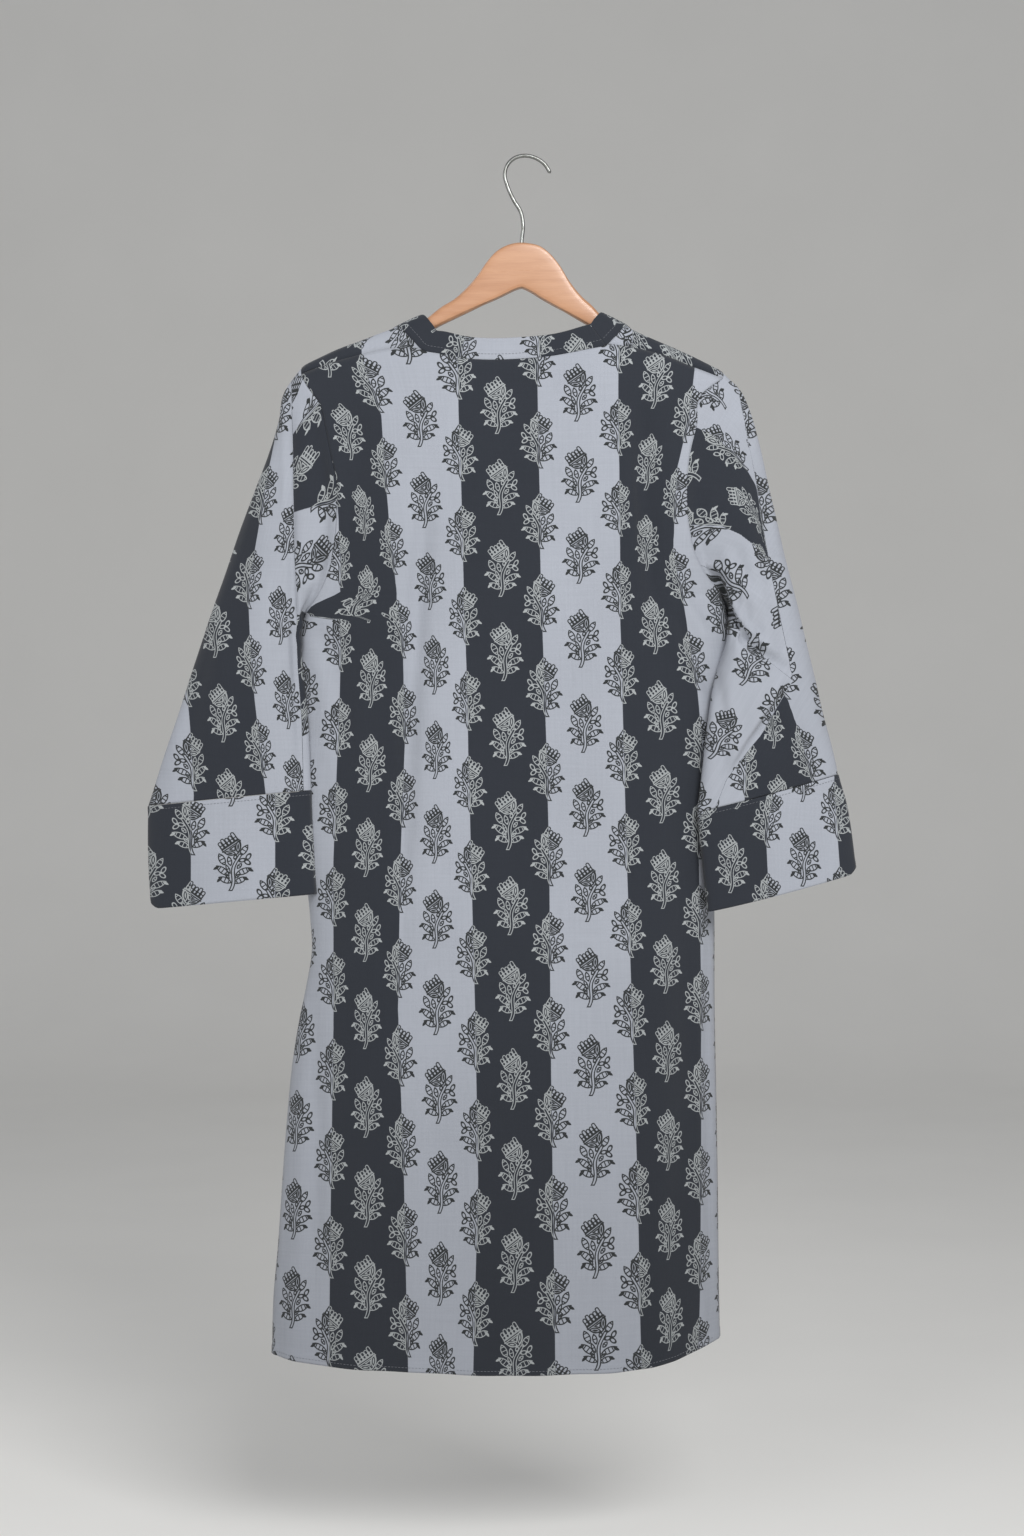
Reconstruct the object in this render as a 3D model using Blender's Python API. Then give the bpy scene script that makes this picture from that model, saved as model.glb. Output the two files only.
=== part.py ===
import bpy
import bmesh
import numpy as np
from math import pi

# Kurta tunic hung on a wooden hanger, seen from its back
# Lengths are in millimetres here and become metres when a mesh is made.
# +Z is up, the back of the tunic faces -Y, and the origin is the top inside the hook.

MM = 0.001
WALL = 1.5            # thickness of the cloth
GAP = 0.3             # clearance where two pieces are sewn
ROLL = 8.2            # radius of the cloth where it turns over the arms of the hanger
FILL = 90.0           # length over which the body fills out below the shoulders
BAND_WIDTH = 19.0     # neck band
ARM_HALF = 6.0        # half the thickness of the wood
WIRE = 1.9            # radius of the hook's wire
HOLE = 2.3            # radius of the hole for the stem
STEM_FOOT = -96.0     # height of the stem's lower end, inside the wood
HEM_Z = -1168.0       # height of the hem
FRONT_NECK_Z = -305.0  # lowest point of the front neckline
SIDE_ROWS = 14        # rows from underarm to hem
EVEN_TOP = -330.0     # below this height the columns spread out evenly
EVEN_RUN = 420.0
SHOULDER_COLUMNS = 7
BACK_NECK_COLUMNS = 12

# Rows from ridge to underarm, as degrees round half a circle
ARMHOLE_ANGLES = [0, 8, 15, 22, 30, 45, 60, 75, 90, 105, 120, 135, 150, 165, 180]
SEAM_ROW = 2          # the row of that list where the shoulder seam lies
# Rows from the shoulder seam over to the ridge, as shares of the way
TURN_ROWS = [0.0, 0.3, 0.55, 0.75, 0.88]
# Columns on the neck edge from the shoulder seam to the ridge, as shares of the way
TURN_COLUMNS = [0.0, 0.3, 0.5, 0.65, 0.78, 0.9, 1.0]
# Columns down each half of the front neckline, as angles in radians
NECK_ANGLES = [0.005, 0.03, 0.11, 0.26, 0.52, 0.85, 1.2]

# Shoulder ridge, carried on over the neck opening: across, up
RIDGE = [
    (-236.0, -228.0), (-226.5, -217.3), (-220.7, -209.7), (-212.8, -203.6), (-193.5, -193.7),
    (-178.0, -186.2), (-158.6, -178.4), (-140.2, -171.0), (-119.8, -163.0), (-103.3, -155.2),
    (-79.1, -149.4), (-0.5, -143.6), (66.4, -146.5), (82.0, -152.3), (101.4, -162.5),
    (115.0, -169.6), (133.0, -178.6), (150.0, -186.6), (165.0, -193.8), (181.0, -201.6),
    (194.3, -207.8), (203.0, -213.5),
]

# Edges of both panels, down the armhole, the side seam and the slit: up, across
LEFT_EDGE = [
    (-203.0, -212.8), (-211.5, -212.8), (-221.0, -208.4), (-240.2, -195.1), (-267.0, -187.9), (-291.3, -183.0),
    (-315.4, -177.6), (-344.1, -177.1), (-377.5, -180.2), (-405.7, -186.6), (-429.1, -198.9),
    (-445.9, -212.4), (-476.9, -216.5), (-525.5, -217.5), (-593.6, -216.6), (-642.3, -214.7),
    (-681.3, -211.8), (-710.5, -207.9), (-739.7, -205.0), (-769.0, -203.6), (-803.2, -209.0),
    (-836.3, -215.8), (-866.8, -220.9), (-934.3, -227.9), (-1004.0, -232.9), (-1059.1, -236.5),
    (-1111.9, -240.9), (-1170.0, -242.4),
]
RIGHT_EDGE = [
    (-207.0, 194.3), (-215.5, 194.3), (-221.5, 185.5), (-229.5, 175.8), (-262.2, 168.5), (-291.3, 161.6),
    (-325.0, 158.7), (-363.2, 161.7), (-389.5, 168.9), (-407.8, 180.0), (-424.3, 195.1),
    (-446.0, 201.0), (-468.9, 202.3), (-498.1, 197.4), (-538.1, 192.5), (-578.0, 188.7),
    (-622.9, 186.8), (-681.5, 187.0), (-731.4, 188.1), (-811.9, 188.4), (-936.0, 190.9),
    (-999.1, 192.0), (-1105.9, 193.3), (-1170.0, 194.5),
]
LEFT_TIP, RIGHT_TIP = -203.6, -207.8
LEFT_UNDERARM, RIGHT_UNDERARM = -445.9, -424.3

# Depth of the body: up, left edge, right edge, bulge of the back, bulge of the front
DEPTH = [
    (-140.0, 0.0, 0.0, 38.0, 32.0), (-220.0, 0.0, 0.0, 40.0, 34.0),
    (-430.0, 2.0, 6.0, 45.0, 36.0), (-600.0, 3.0, 9.0, 50.0, 36.0),
    (-800.0, 4.0, 15.0, 56.0, 35.0), (-1000.0, 6.0, 23.0, 60.0, 34.0),
    (-1170.0, 8.0, 30.0, 63.0, 34.0),
]

# Shoulder seams, which lie behind the ridge: across, up
LEFT_SEAM = [
    (-212.8, -211.0), (-189.1, -202.0), (-170.7, -196.4), (-152.3, -191.9), (-132.0, -187.5),
    (-113.6, -186.6), (-94.2, -187.9),
]
RIGHT_SEAM = [
    (79.7, -183.0), (98.0, -184.5), (118.0, -188.0), (140.2, -194.0), (159.6, -202.0),
    (177.0, -208.4), (194.3, -215.3),
]

# Back neckline between the seams: across, up
BACK_NECK = [
    (-94.2, -187.9), (-73.8, -192.4), (-52.6, -196.5), (-30.4, -197.8), (-3.4, -196.9),
    (30.3, -193.8), (56.4, -188.5), (79.7, -183.0),
]
NECK_CENTRE = (-8.0, 20.0)  # across, and down the front
NECK_MARGIN = 4.5          # first row of the front outside the neckline
TURN_SPAN = 12.0           # length of neck edge that a direction is taken over
LEFT_RIDGE_NECK = -119.8   # where the neck edge crosses the ridge
RIGHT_RIDGE_NECK = 101.4

# Folds of the back: across and up at each end, half width, depth
BACK_FOLDS = [
    (-92.0, -300.0, -119.0, -730.0, 13.0, 6.0),
    (118.0, -230.0, 130.0, -480.0, 13.0, 6.0),
]

# Sleeve rings after the armhole: outer across, outer up, inner across, inner up,
# inner depth, half depth
LEFT_SLEEVE = [
    (-223.4, -215.6, -217.0, -448.0, 1.5, 27.0), (-232.1, -231.1, -219.3, -455.0, 1.0, 27.0),
    (-235.8, -254.4, -219.8, -464.0, 0.0, 26.0), (-246.0, -288.3, -219.5, -475.0, -1.5, 25.0),
    (-259.3, -324.2, -218.8, -487.0, -3.5, 24.0), (-272.8, -362.0, -217.5, -501.0, -6.0, 23.0),
    (-286.4, -402.7, -215.8, -516.0, -9.0, 22.0), (-301.0, -444.4, -214.3, -533.0, -12.0, 21.0),
    (-315.5, -487.0, -213.0, -552.0, -14.0, 20.0), (-331.0, -534.5, -212.2, -573.0, -15.0, 18.5),
    (-346.5, -579.1, -211.5, -594.0, -16.0, 17.0), (-362.0, -628.5, -210.7, -613.4, -16.0, 15.5),
]
RIGHT_SLEEVE = [
    (201.1, -214.7, 199.0, -426.5, 6.5, 27.0), (212.7, -227.3, 203.0, -433.0, 6.0, 27.0),
    (221.5, -247.6, 205.5, -442.0, 5.0, 26.5), (228.2, -270.9, 206.5, -454.0, 3.0, 26.0),
    (237.0, -306.7, 205.5, -468.0, 0.0, 25.0), (245.7, -343.6, 201.0, -483.5, -4.0, 24.5),
    (254.4, -382.3, 195.5, -500.0, -9.0, 24.0), (264.1, -421.1, 191.0, -518.5, -14.0, 23.5),
    (273.8, -461.8, 187.9, -538.6, -18.0, 23.0), (282.5, -498.7, 185.0, -559.8, -20.0, 22.0),
    (291.2, -536.5, 182.6, -582.0, -20.0, 20.5), (300.0, -569.4, 180.1, -605.2, -20.0, 18.5),
    (306.8, -598.0, 176.8, -634.2, -20.0, 16.5),
]
LEFT_SLEEVE_FOLDS = [
    (-226.0, -330.0, -219.0, -620.0, 6.0, 3.5),
]
RIGHT_SLEEVE_FOLDS = [
    (203.0, -436.0, 266.0, -510.0, 10.0, 8.0),
    (266.0, -520.0, 200.0, -610.0, 10.0, 6.0),
]

# Cuff rings below the seam: outer across, outer up, inner across, inner up,
# inner depth, half depth
LEFT_CUFF = [
    (-362.0, -656.0, -210.0, -640.0, -16.0, 15.0),
    (-361.3, -681.9, -208.9, -665.0, -16.0, 14.5), (-360.0, -710.0, -207.3, -693.0, -16.0, 14.0),
    (-358.6, -728.5, -206.1, -713.4, -16.0, 14.0),
]
RIGHT_CUFF = [
    (314.5, -623.0, 179.4, -660.0, -20.0, 16.0),
    (319.0, -648.0, 182.0, -684.0, -20.0, 15.5), (322.6, -676.0, 184.8, -709.0, -20.0, 15.0),
    (324.0, -694.0, 187.2, -730.4, -20.0, 15.0),
]
CORNER_LIFT = 6.0     # rounding of the cuffs' outer lower corners

# Hanger stations clear of the cloth: across, top, bottom
HUMP = [
    (-99.5, -158.4, -174.0), (-92.0, -156.0, -170.6), (-85.0, -150.6, -166.6),
    (-78.1, -145.2, -162.9), (-64.5, -136.8, -156.3), (-53.8, -127.1, -151.2),
    (-42.2, -113.5, -145.5), (-33.5, -100.9, -141.3),
    (-25.7, -92.1, -137.6), (-15.0, -85.4, -132.4), (-7.0, -83.0, -128.6),
    (0.0, -82.4, -126.6), (7.0, -83.0, -129.2), (18.9, -86.3, -136.2), (27.6, -93.1, -141.3),
    (37.3, -104.8, -147.0), (46.1, -119.3, -152.2), (57.7, -133.9, -159.0),
    (68.4, -143.6, -165.2), (77.0, -152.6, -170.0), (84.5, -157.2, -174.5),
]
# Arms of the hanger under the cloth: across, height, drop below the outside of the cloth
LEFT_ARM = [
    (-207.5, 7.0, 2.3), (-206.0, 12.5, 2.3), (-202.0, 15.5, 2.3), (-185.0, 16.5, 2.3),
    (-135.0, 17.7, 2.7), (-120.0, 18.2, 3.2), (-108.0, 18.5, 3.2),
]
RIGHT_ARM = [
    (91.0, 18.5, 3.0), (105.0, 18.0, 2.6), (120.0, 17.5, 2.3), (168.0, 16.5, 2.3),
    (184.0, 15.5, 2.3), (188.0, 12.5, 2.3), (189.5, 7.0, 2.3),
]
ARM_STEP = 11.0       # spacing of the arms' sections

# Centre line of the hook: across, up
HOOK = [
    (0.1, STEM_FOOT), (0.1, -88.0), (0.1, -81.5), (1.5, -66.0), (-0.9, -52.4), (-7.3, -41.7),
    (-14.1, -26.2), (-16.3, -17.5), (-14.1, -7.8), (-7.3, -0.8), (3.8, 1.9), (15.0, -1.0),
    (22.3, -6.3), (28.1, -15.1),
]
HOOK_STEPS = 38
HOOK_SIDES = 8

# Colours of the materials: red, green, blue, roughness, metallic
CLOTH = (0.20, 0.22, 0.27, 0.85, 0.0)
WOOD = (0.63, 0.37, 0.22, 0.28, 0.0)
STEEL = (0.55, 0.53, 0.50, 0.25, 1.0)


def curve(rows, at, column=1):
    """Smooth curve through a table, held level past its ends."""
    table = np.array(rows, float)
    x = table[:, 0]
    y = table[:, column]
    if x[0] > x[-1]:
        x = x[::-1]
        y = y[::-1]
    slope = np.gradient(y, x)
    at = np.clip(at, x[0], x[-1])
    i = np.clip(np.searchsorted(x, at) - 1, 0, len(x) - 2)
    h = x[i + 1] - x[i]
    t = (at - x[i]) / h
    start = (2 * t**3 - 3 * t**2 + 1) * y[i] + (t**3 - 2 * t**2 + t) * h * slope[i]
    end = (3 * t**2 - 2 * t**3) * y[i + 1] + (t**3 - t**2) * h * slope[i + 1]
    return start + end


def mix(a, b, t):
    return a + (b - a) * t


def fold_depth(folds, x, z):
    """Depth of the soft troughs that run between two points each."""
    total = np.zeros(np.broadcast(x, z).shape)
    for x0, z0, x1, z1, half, depth in folds:
        run = np.array([x1 - x0, z1 - z0])
        length = np.hypot(*run)
        run = run / length
        along = ((x - x0) * run[0] + (z - z0) * run[1]) / length
        across = (x - x0) * run[1] - (z - z0) * run[0]
        fade = np.sin(pi * np.clip(along, 0, 1)) ** 0.7
        total = total + depth * fade * np.exp(-((across / half) ** 2))
    return total


def body_field(x, z, front):
    """Middle and squared half depth of the body at points across and up."""
    left = curve(LEFT_EDGE, z)
    right = curve(RIGHT_EDGE, z)
    s = (x - left) / (right - left)
    inside = np.clip(s, 0, 1)
    down_left = np.clip((LEFT_TIP - z) / (LEFT_TIP - LEFT_UNDERARM), 0, 1)
    down_right = np.clip((RIGHT_TIP - z) / (RIGHT_TIP - RIGHT_UNDERARM), 0, 1)
    opened = mix(1 - down_left**3, 1 - down_right**3, inside)
    across = opened + (1 - opened) * 4 * s * (1 - s)
    down = curve(RIDGE, x) - z
    over = 1 - np.clip(1 - down / ROLL, 0, None) ** 2
    fill = 1 - np.exp(-np.clip(down - ROLL, 0, None) / FILL)
    bulge = curve(DEPTH, z, 4 if front else 3)
    half = ROLL + (bulge - ROLL) * fill
    middle = mix(curve(DEPTH, z, 1), curve(DEPTH, z, 2), s)
    if not front:
        middle = middle + fold_depth(BACK_FOLDS, x, z) * np.clip(across, 0, 1)
    return middle, half**2 * over * across


def body_points(x, z, front):
    """Points of the outer face and the directions into the wall."""
    front = np.broadcast_to(front, x.shape)
    y = np.zeros(x.shape)
    inward = np.zeros(x.shape + (3,))
    e = 0.02
    for side in (False, True):
        here = front == side
        if not here.any():
            continue
        px = x[here]
        pz = z[here]
        middle, square = body_field(px, pz, side)
        sign = 1 if side else -1
        py = middle + sign * np.sqrt(np.clip(square, 0, None))
        y[here] = py
        grad = np.zeros(px.shape + (3,))
        for axis, (dx, dz) in ((0, (e, 0)), (2, (0, e))):
            m1, q1 = body_field(px + dx, pz + dz, side)
            m0, q0 = body_field(px - dx, pz - dz, side)
            grad[..., axis] = ((py - m1) ** 2 - q1 - (py - m0) ** 2 + q0) / (2 * e)
        grad[..., 1] = 2 * (py - middle)
        inward[here] = -grad
    inward /= np.linalg.norm(inward, axis=-1, keepdims=True)
    return np.stack([x, y, z], -1), inward


def down_from_arc(arc):
    """Drop below the ridge of a point at a length of cloth from it."""
    a = np.abs(arc)
    return np.where(a < ROLL * pi / 2, ROLL * (1 - np.cos(a / ROLL)), ROLL + a - ROLL * pi / 2)


def arc_from_down(down):
    d = np.clip(down, 0, None)
    turn = ROLL * np.arccos(np.clip(1 - d / ROLL, -1, 1))
    return np.where(d < ROLL, turn, ROLL * pi / 2 + d - ROLL)


def shell(name, outer, inward, closed, look):
    """A wall on a grid of points. A closed one runs round its columns as a tube."""
    rows, columns = outer.shape[:2]
    inner = outer + WALL * inward
    mesh = bpy.data.meshes.new(name)
    bm = bmesh.new()
    sides = []
    for grid in (outer, inner):
        sides.append([[bm.verts.new(p * MM) for p in row] for row in grid])
    top, under = sides
    wrap = columns if closed else columns - 1
    for i in range(rows - 1):
        for j in range(wrap):
            k = (j + 1) % columns
            bm.faces.new((top[i][j], top[i][k], top[i + 1][k], top[i + 1][j]))
            bm.faces.new((under[i][j], under[i + 1][j], under[i + 1][k], under[i][k]))
    for j in range(wrap):
        k = (j + 1) % columns
        for i in (0, rows - 1):
            bm.faces.new((top[i][j], under[i][j], under[i][k], top[i][k]))
    if not closed:
        for i in range(rows - 1):
            for j in (0, columns - 1):
                bm.faces.new((top[i][j], top[i + 1][j], under[i + 1][j], under[i][j]))
    return finish(name, mesh, bm, look)


def finish(name, mesh, bm, look):
    bmesh.ops.recalc_face_normals(bm, faces=bm.faces)
    bmesh.ops.triangulate(bm, faces=bm.faces)
    bm.to_mesh(mesh)
    bm.free()
    material = bpy.data.materials.new(name)
    material.use_nodes = True
    shader = material.node_tree.nodes["Principled BSDF"]
    shader.inputs["Base Color"].default_value = (*look[:3], 1.0)
    shader.inputs["Roughness"].default_value = look[3]
    shader.inputs["Metallic"].default_value = look[4]
    mesh.materials.append(material)
    ob = bpy.data.objects.new(name, mesh)
    bpy.context.collection.objects.link(ob)
    return ob


def ease(t):
    """From 0 to 1 with soft ends."""
    t = np.clip(t, 0, 1)
    return t * t * (3 - 2 * t)


def spread_columns(count):
    """Shares of the width, closer together near the edges."""
    j = np.arange(count + 1) / count
    return 0.5 * j + 0.25 * (1 - np.cos(pi * j))


def panel_rows(top_x, top_z, corners, from_seam):
    """Rows of points across and up, from the top row to the underarm and the hem.

    The columns outside the two corners of the neck follow the armholes.
    """
    top_left = curve(LEFT_EDGE, top_z)
    top_right = curve(RIGHT_EDGE, top_z)
    near_left = np.clip((corners[0] - top_x) / (corners[0] - top_x[0]), 0, 1)
    near_right = np.clip((top_x - corners[1]) / (top_x[-1] - corners[1]), 0, 1)
    even = spread_columns(len(top_x) - 1)
    share = (top_x - top_x[0]) / (top_x[-1] - top_x[0])
    kept = 0.5 * share + 0.25 * (1 - np.cos(pi * share))
    underarm = mix(LEFT_UNDERARM, RIGHT_UNDERARM, kept)
    steps = (1 - np.cos(np.radians(ARMHOLE_ANGLES))) / 2
    if from_seam:
        steps = (steps[SEAM_ROW:] - steps[SEAM_ROW]) / (1 - steps[SEAM_ROW])
    last = len(steps) - 1
    rows_x = []
    rows_z = []
    for i in range(len(steps) + SIDE_ROWS):
        z = mix(top_z, underarm, steps[i]) if i <= last else None
        if z is None:
            z = mix(underarm, HEM_Z, (i - last) / SIDE_ROWS)
        left = curve(LEFT_EDGE, z)
        right = curve(RIGHT_EDGE, z)
        upper = top_x + near_left * (left - top_left) + near_right * (right - top_right)
        upper[0] = left[0]
        upper[-1] = right[-1]
        rows_x.append(mix(upper, mix(left, right, even), ease((EVEN_TOP - z) / EVEN_RUN)))
        rows_z.append(z)
    return np.array(rows_x), np.array(rows_z)


def part_sides(points, depth_sign, first_row):
    """Draws the side edges back from the middle line: by half a gap at the seams."""
    rows = points.shape[0]
    for i in range(first_row, rows):
        open_by = np.clip((-770 - points[i, 0, 2]) / 400, 0, 1) * 4.0
        for j in (0, -1):
            points[i, j, 1] += depth_sign * (GAP / 2 + open_by)
        for j in (1, -2):
            points[i, j, 1] += depth_sign * 0.6 * open_by
    return points


def make_back():
    left_x = np.linspace(LEFT_SEAM[0][0], LEFT_SEAM[-1][0], SHOULDER_COLUMNS + 1)
    right_x = np.linspace(RIGHT_SEAM[0][0], RIGHT_SEAM[-1][0], SHOULDER_COLUMNS + 1)
    neck_x = np.linspace(BACK_NECK[0][0], BACK_NECK[-1][0], BACK_NECK_COLUMNS + 1)
    top_x = np.concatenate([left_x, neck_x[1:-1], right_x])
    left_z = curve(LEFT_SEAM, left_x)
    right_z = curve(RIGHT_SEAM, right_x)
    neck_z = curve(BACK_NECK, neck_x)
    top_z = np.concatenate([left_z, neck_z[1:-1], right_z])
    x, z = panel_rows(top_x, top_z, (LEFT_SEAM[-1][0], RIGHT_SEAM[0][0]), True)
    points, inward = body_points(x, z, False)
    points = part_sides(points, -1, len(ARMHOLE_ANGLES) - 1 - SEAM_ROW)
    return points, inward


def front_neck_edge():
    """Front neck edge from one shoulder seam to the other: across, arc from the ridge."""
    ends = []
    for seam, ridge_x, bow in (
        (LEFT_SEAM[-1], LEFT_RIDGE_NECK, -5.0), (RIGHT_SEAM[0], RIGHT_RIDGE_NECK, 5.0),
    ):
        start = -float(arc_from_down(curve(RIDGE, seam[0]) - seam[1]))
        ends.append([
            (mix(seam[0], ridge_x, t) + bow * t * (1 - t), mix(start, 0.0, t))
            for t in TURN_COLUMNS
        ])
    middle = (LEFT_RIDGE_NECK + RIGHT_RIDGE_NECK) / 2
    half = (RIGHT_RIDGE_NECK - LEFT_RIDGE_NECK) / 2
    front = []
    for angle in NECK_ANGLES + [pi / 2] + [pi - a for a in NECK_ANGLES[::-1]]:
        x = middle - half * np.cos(angle)
        side = LEFT_RIDGE_NECK if angle < pi / 2 else RIGHT_RIDGE_NECK
        down = float(curve(RIDGE, side)) - FRONT_NECK_Z
        front.append((x, float(arc_from_down(down * np.sin(angle) ** 0.85))))
    return np.array(ends[0] + front + ends[1][::-1])


def away_from_neck(loop):
    """Directions out of the neck opening, square to its edge, turning smoothly."""
    reach = np.concatenate([[0], np.cumsum(np.linalg.norm(np.diff(loop, axis=0), axis=1))])
    ends = [
        np.stack([np.interp(reach + side * TURN_SPAN, reach, loop[:, k]) for k in (0, 1)], -1)
        for side in (-1, 1)
    ]
    tangent = ends[1] - ends[0]
    tangent /= np.linalg.norm(tangent, axis=1, keepdims=True)
    away = np.stack([tangent[:, 1], -tangent[:, 0]], -1)
    return away if (away * (loop - NECK_CENTRE)).sum() > 0 else -away


def shoulder_columns(seam):
    x = np.linspace(seam[0][0], seam[-1][0], SHOULDER_COLUMNS + 1)
    return x, -arc_from_down(curve(RIDGE, x) - curve(seam, x))


def make_front():
    left_x, left_arc = shoulder_columns(LEFT_SEAM)
    right_x, right_arc = shoulder_columns(RIGHT_SEAM)
    edge = front_neck_edge()
    start_x = np.concatenate([left_x[:-1], edge[:, 0], right_x[1:]])
    start_arc = np.concatenate([left_arc[:-1], edge[:, 1], right_arc[1:]])
    # Where each column crosses the ridge, or the row just outside the front neckline
    turns = len(TURN_COLUMNS)
    below = edge[turns - 1:1 - turns] + NECK_MARGIN * away_from_neck(edge)[turns - 1:1 - turns]
    turn = 0.8 * np.arange(1, turns)
    count = len(below)
    step = 0.7 * np.arange(count)
    from_left = np.maximum.accumulate(below[:, 0] - step) + step
    from_right = -(np.maximum.accumulate(-below[::-1, 0] - step) + step)[::-1]
    below[:, 0] = np.where(np.arange(count) < count // 2, from_left, from_right)
    left_neck = below[0, 0] - turn[-1]
    right_neck = below[-1, 0] + turn[-1]
    shoulder = np.linspace(0, 1, SHOULDER_COLUMNS + 1)
    cross_x = np.concatenate([
        mix(start_x[0], left_neck, shoulder), left_neck + turn[:-1], below[:, 0],
        (right_neck - turn[:-1])[::-1], mix(right_neck, start_x[-1], shoulder),
    ])
    level = np.zeros(SHOULDER_COLUMNS + turns - 1)
    cross_arc = np.concatenate([level, np.maximum(below[:, 1], 0.0), level])
    turn_x = np.array([mix(start_x, cross_x, t) for t in TURN_ROWS])
    turn_arc = np.array([mix(start_arc, cross_arc, t) for t in TURN_ROWS])
    turn_z = curve(RIDGE, turn_x) - down_from_arc(turn_arc)
    turn_x[:, 0] = curve(LEFT_EDGE, turn_z[:, 0])
    turn_x[:, -1] = curve(RIGHT_EDGE, turn_z[:, -1])
    cross_z = curve(RIDGE, cross_x) - down_from_arc(cross_arc)
    x, z = panel_rows(cross_x, cross_z, (left_neck, right_neck), False)
    front = np.concatenate([turn_arc >= 0, np.ones(x.shape, bool)])
    points, inward = body_points(np.concatenate([turn_x, x]), np.concatenate([turn_z, z]), front)
    # The shoulder seam is drawn back from the back panel by a gap
    for j in list(range(SHOULDER_COLUMNS + 1)) + list(range(-SHOULDER_COLUMNS - 1, 0)):
        way = points[1, j] - points[0, j]
        points[0, j] += way / np.linalg.norm(way) * GAP * 1.2
    points = part_sides(points, 1, len(TURN_ROWS) + len(ARMHOLE_ANGLES) - 1)
    return points, inward


def make_band(back):
    """Neck band on the same surface, from both panels' neck edges inwards."""
    neck = slice(SHOULDER_COLUMNS, SHOULDER_COLUMNS + BACK_NECK_COLUMNS + 1)
    back_edge = [(p[0], -float(arc_from_down(curve(RIDGE, p[0]) - p[2]))) for p in back[0, neck]]
    loop = np.array(back_edge[::-1] + [tuple(p) for p in front_neck_edge()[1:-1]])
    ends = np.concatenate([loop[-6:], loop, loop[:6]])
    inwards = -away_from_neck(ends)[6:-6]
    shares = np.array([GAP * 1.3 / BAND_WIDTH, 0.34, 0.67, 1.0])
    x = []
    arc = []
    for share in shares:
        x.append(loop[:, 0] + inwards[:, 0] * BAND_WIDTH * share)
        arc.append(loop[:, 1] + inwards[:, 1] * BAND_WIDTH * share)
    x = np.array(x)
    arc = np.array(arc)
    z = curve(RIDGE, x) - down_from_arc(arc)
    return body_points(x, z, arc >= 0)


def ring_directions(rings, towards):
    """Directions into the wall of a tube, from its own grid."""
    along = np.gradient(rings, axis=0)
    round_it = np.roll(rings, -1, axis=1) - np.roll(rings, 1, axis=1)
    inward = np.cross(along, round_it)
    inward /= np.linalg.norm(inward, axis=-1, keepdims=True)
    if (inward * (towards - rings)).sum() < 0:
        inward = -inward
    return inward


def armhole_ring(back, front, column):
    """Points round an armhole: ridge, down the back edge, underarm, up the front edge."""
    turns = len(TURN_ROWS)
    depth = len(ARMHOLE_ANGLES) - 1
    ring = [front[turns, column], front[2, column], front[1, column]]
    ring += [back[i, column] for i in range(depth - SEAM_ROW + 1)]
    low = len(ring) - 1
    ring += [front[turns + depth - i, column] for i in range(1, depth)]
    ring = np.array(ring)
    ring[low, 1] = (back[depth - SEAM_ROW, column, 1] + front[turns + depth, column, 1]) / 2
    return ring, low


def ring_shares(ring, low):
    """Share of the way from outer to inner edge of each point, and its side."""
    shares = (ring[0, 2] - ring[:, 2]) / (ring[0, 2] - ring[low, 2])
    shares = np.clip(shares, 0, 1)
    side = 2 * np.sqrt(shares * (1 - shares))
    side[:low] *= -1
    return shares, side


def flat_ring(row, shares, side):
    """A flattened ring between an outer and an inner edge."""
    ox, oz, ix, iz, inner_y, half = row
    outer = np.array([ox, 0.0, oz])
    inner = np.array([ix, inner_y, iz])
    ring = np.array([mix(outer, inner, s) for s in shares])
    ring[:, 1] += side * half
    return ring


def make_sleeve(first, low, rows, folds, out):
    shares, side = ring_shares(first, low)
    straight = np.array([mix(first[0], first[low], s) for s in shares])
    bow = first - straight
    bow[:, 1] = 0
    rings = [first + np.array([out * GAP * 1.5, 0, 0])]
    for i, row in enumerate(rows):
        keep = max(0.0, 1 - (i + 0.6) / 7.0) ** 1.3
        ring = flat_ring(row, shares, side) + bow * keep
        hollow = fold_depth(folds, ring[:, 0], ring[:, 2])
        ring[:, 1] += np.clip(-side, 0, 1) * hollow
        rings.append(ring)
    rings = np.array(rings)
    inward = ring_directions(rings, rings.mean(axis=1, keepdims=True))
    # At the armhole the wall never turns towards the body
    inward[0, :, 0] = np.where(inward[0, :, 0] * out > 0, inward[0, :, 0], 0.0)
    inward[0, low] = np.array([out * 0.7, 0.0, 0.7])
    inward[0] /= np.linalg.norm(inward[0], axis=-1, keepdims=True)
    return rings, inward


def make_cuff(rows, shares, side, sleeve, sleeve_inward):
    """A cuff that starts just below the sleeve's last ring."""
    rings = [flat_ring(row, shares, side) for row in rows]
    way = rings[0] - sleeve[-1]
    way /= np.linalg.norm(way, axis=-1, keepdims=True)
    rings = np.array([sleeve[-1] + GAP * 1.2 * way] + rings)
    rings[-1][:, 2] += CORNER_LIFT * np.clip(1 - shares / 0.06, 0, 1) ** 2
    inward = ring_directions(rings, rings.mean(axis=1, keepdims=True))
    inward[0] = sleeve_inward[-1]
    return rings, inward


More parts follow.
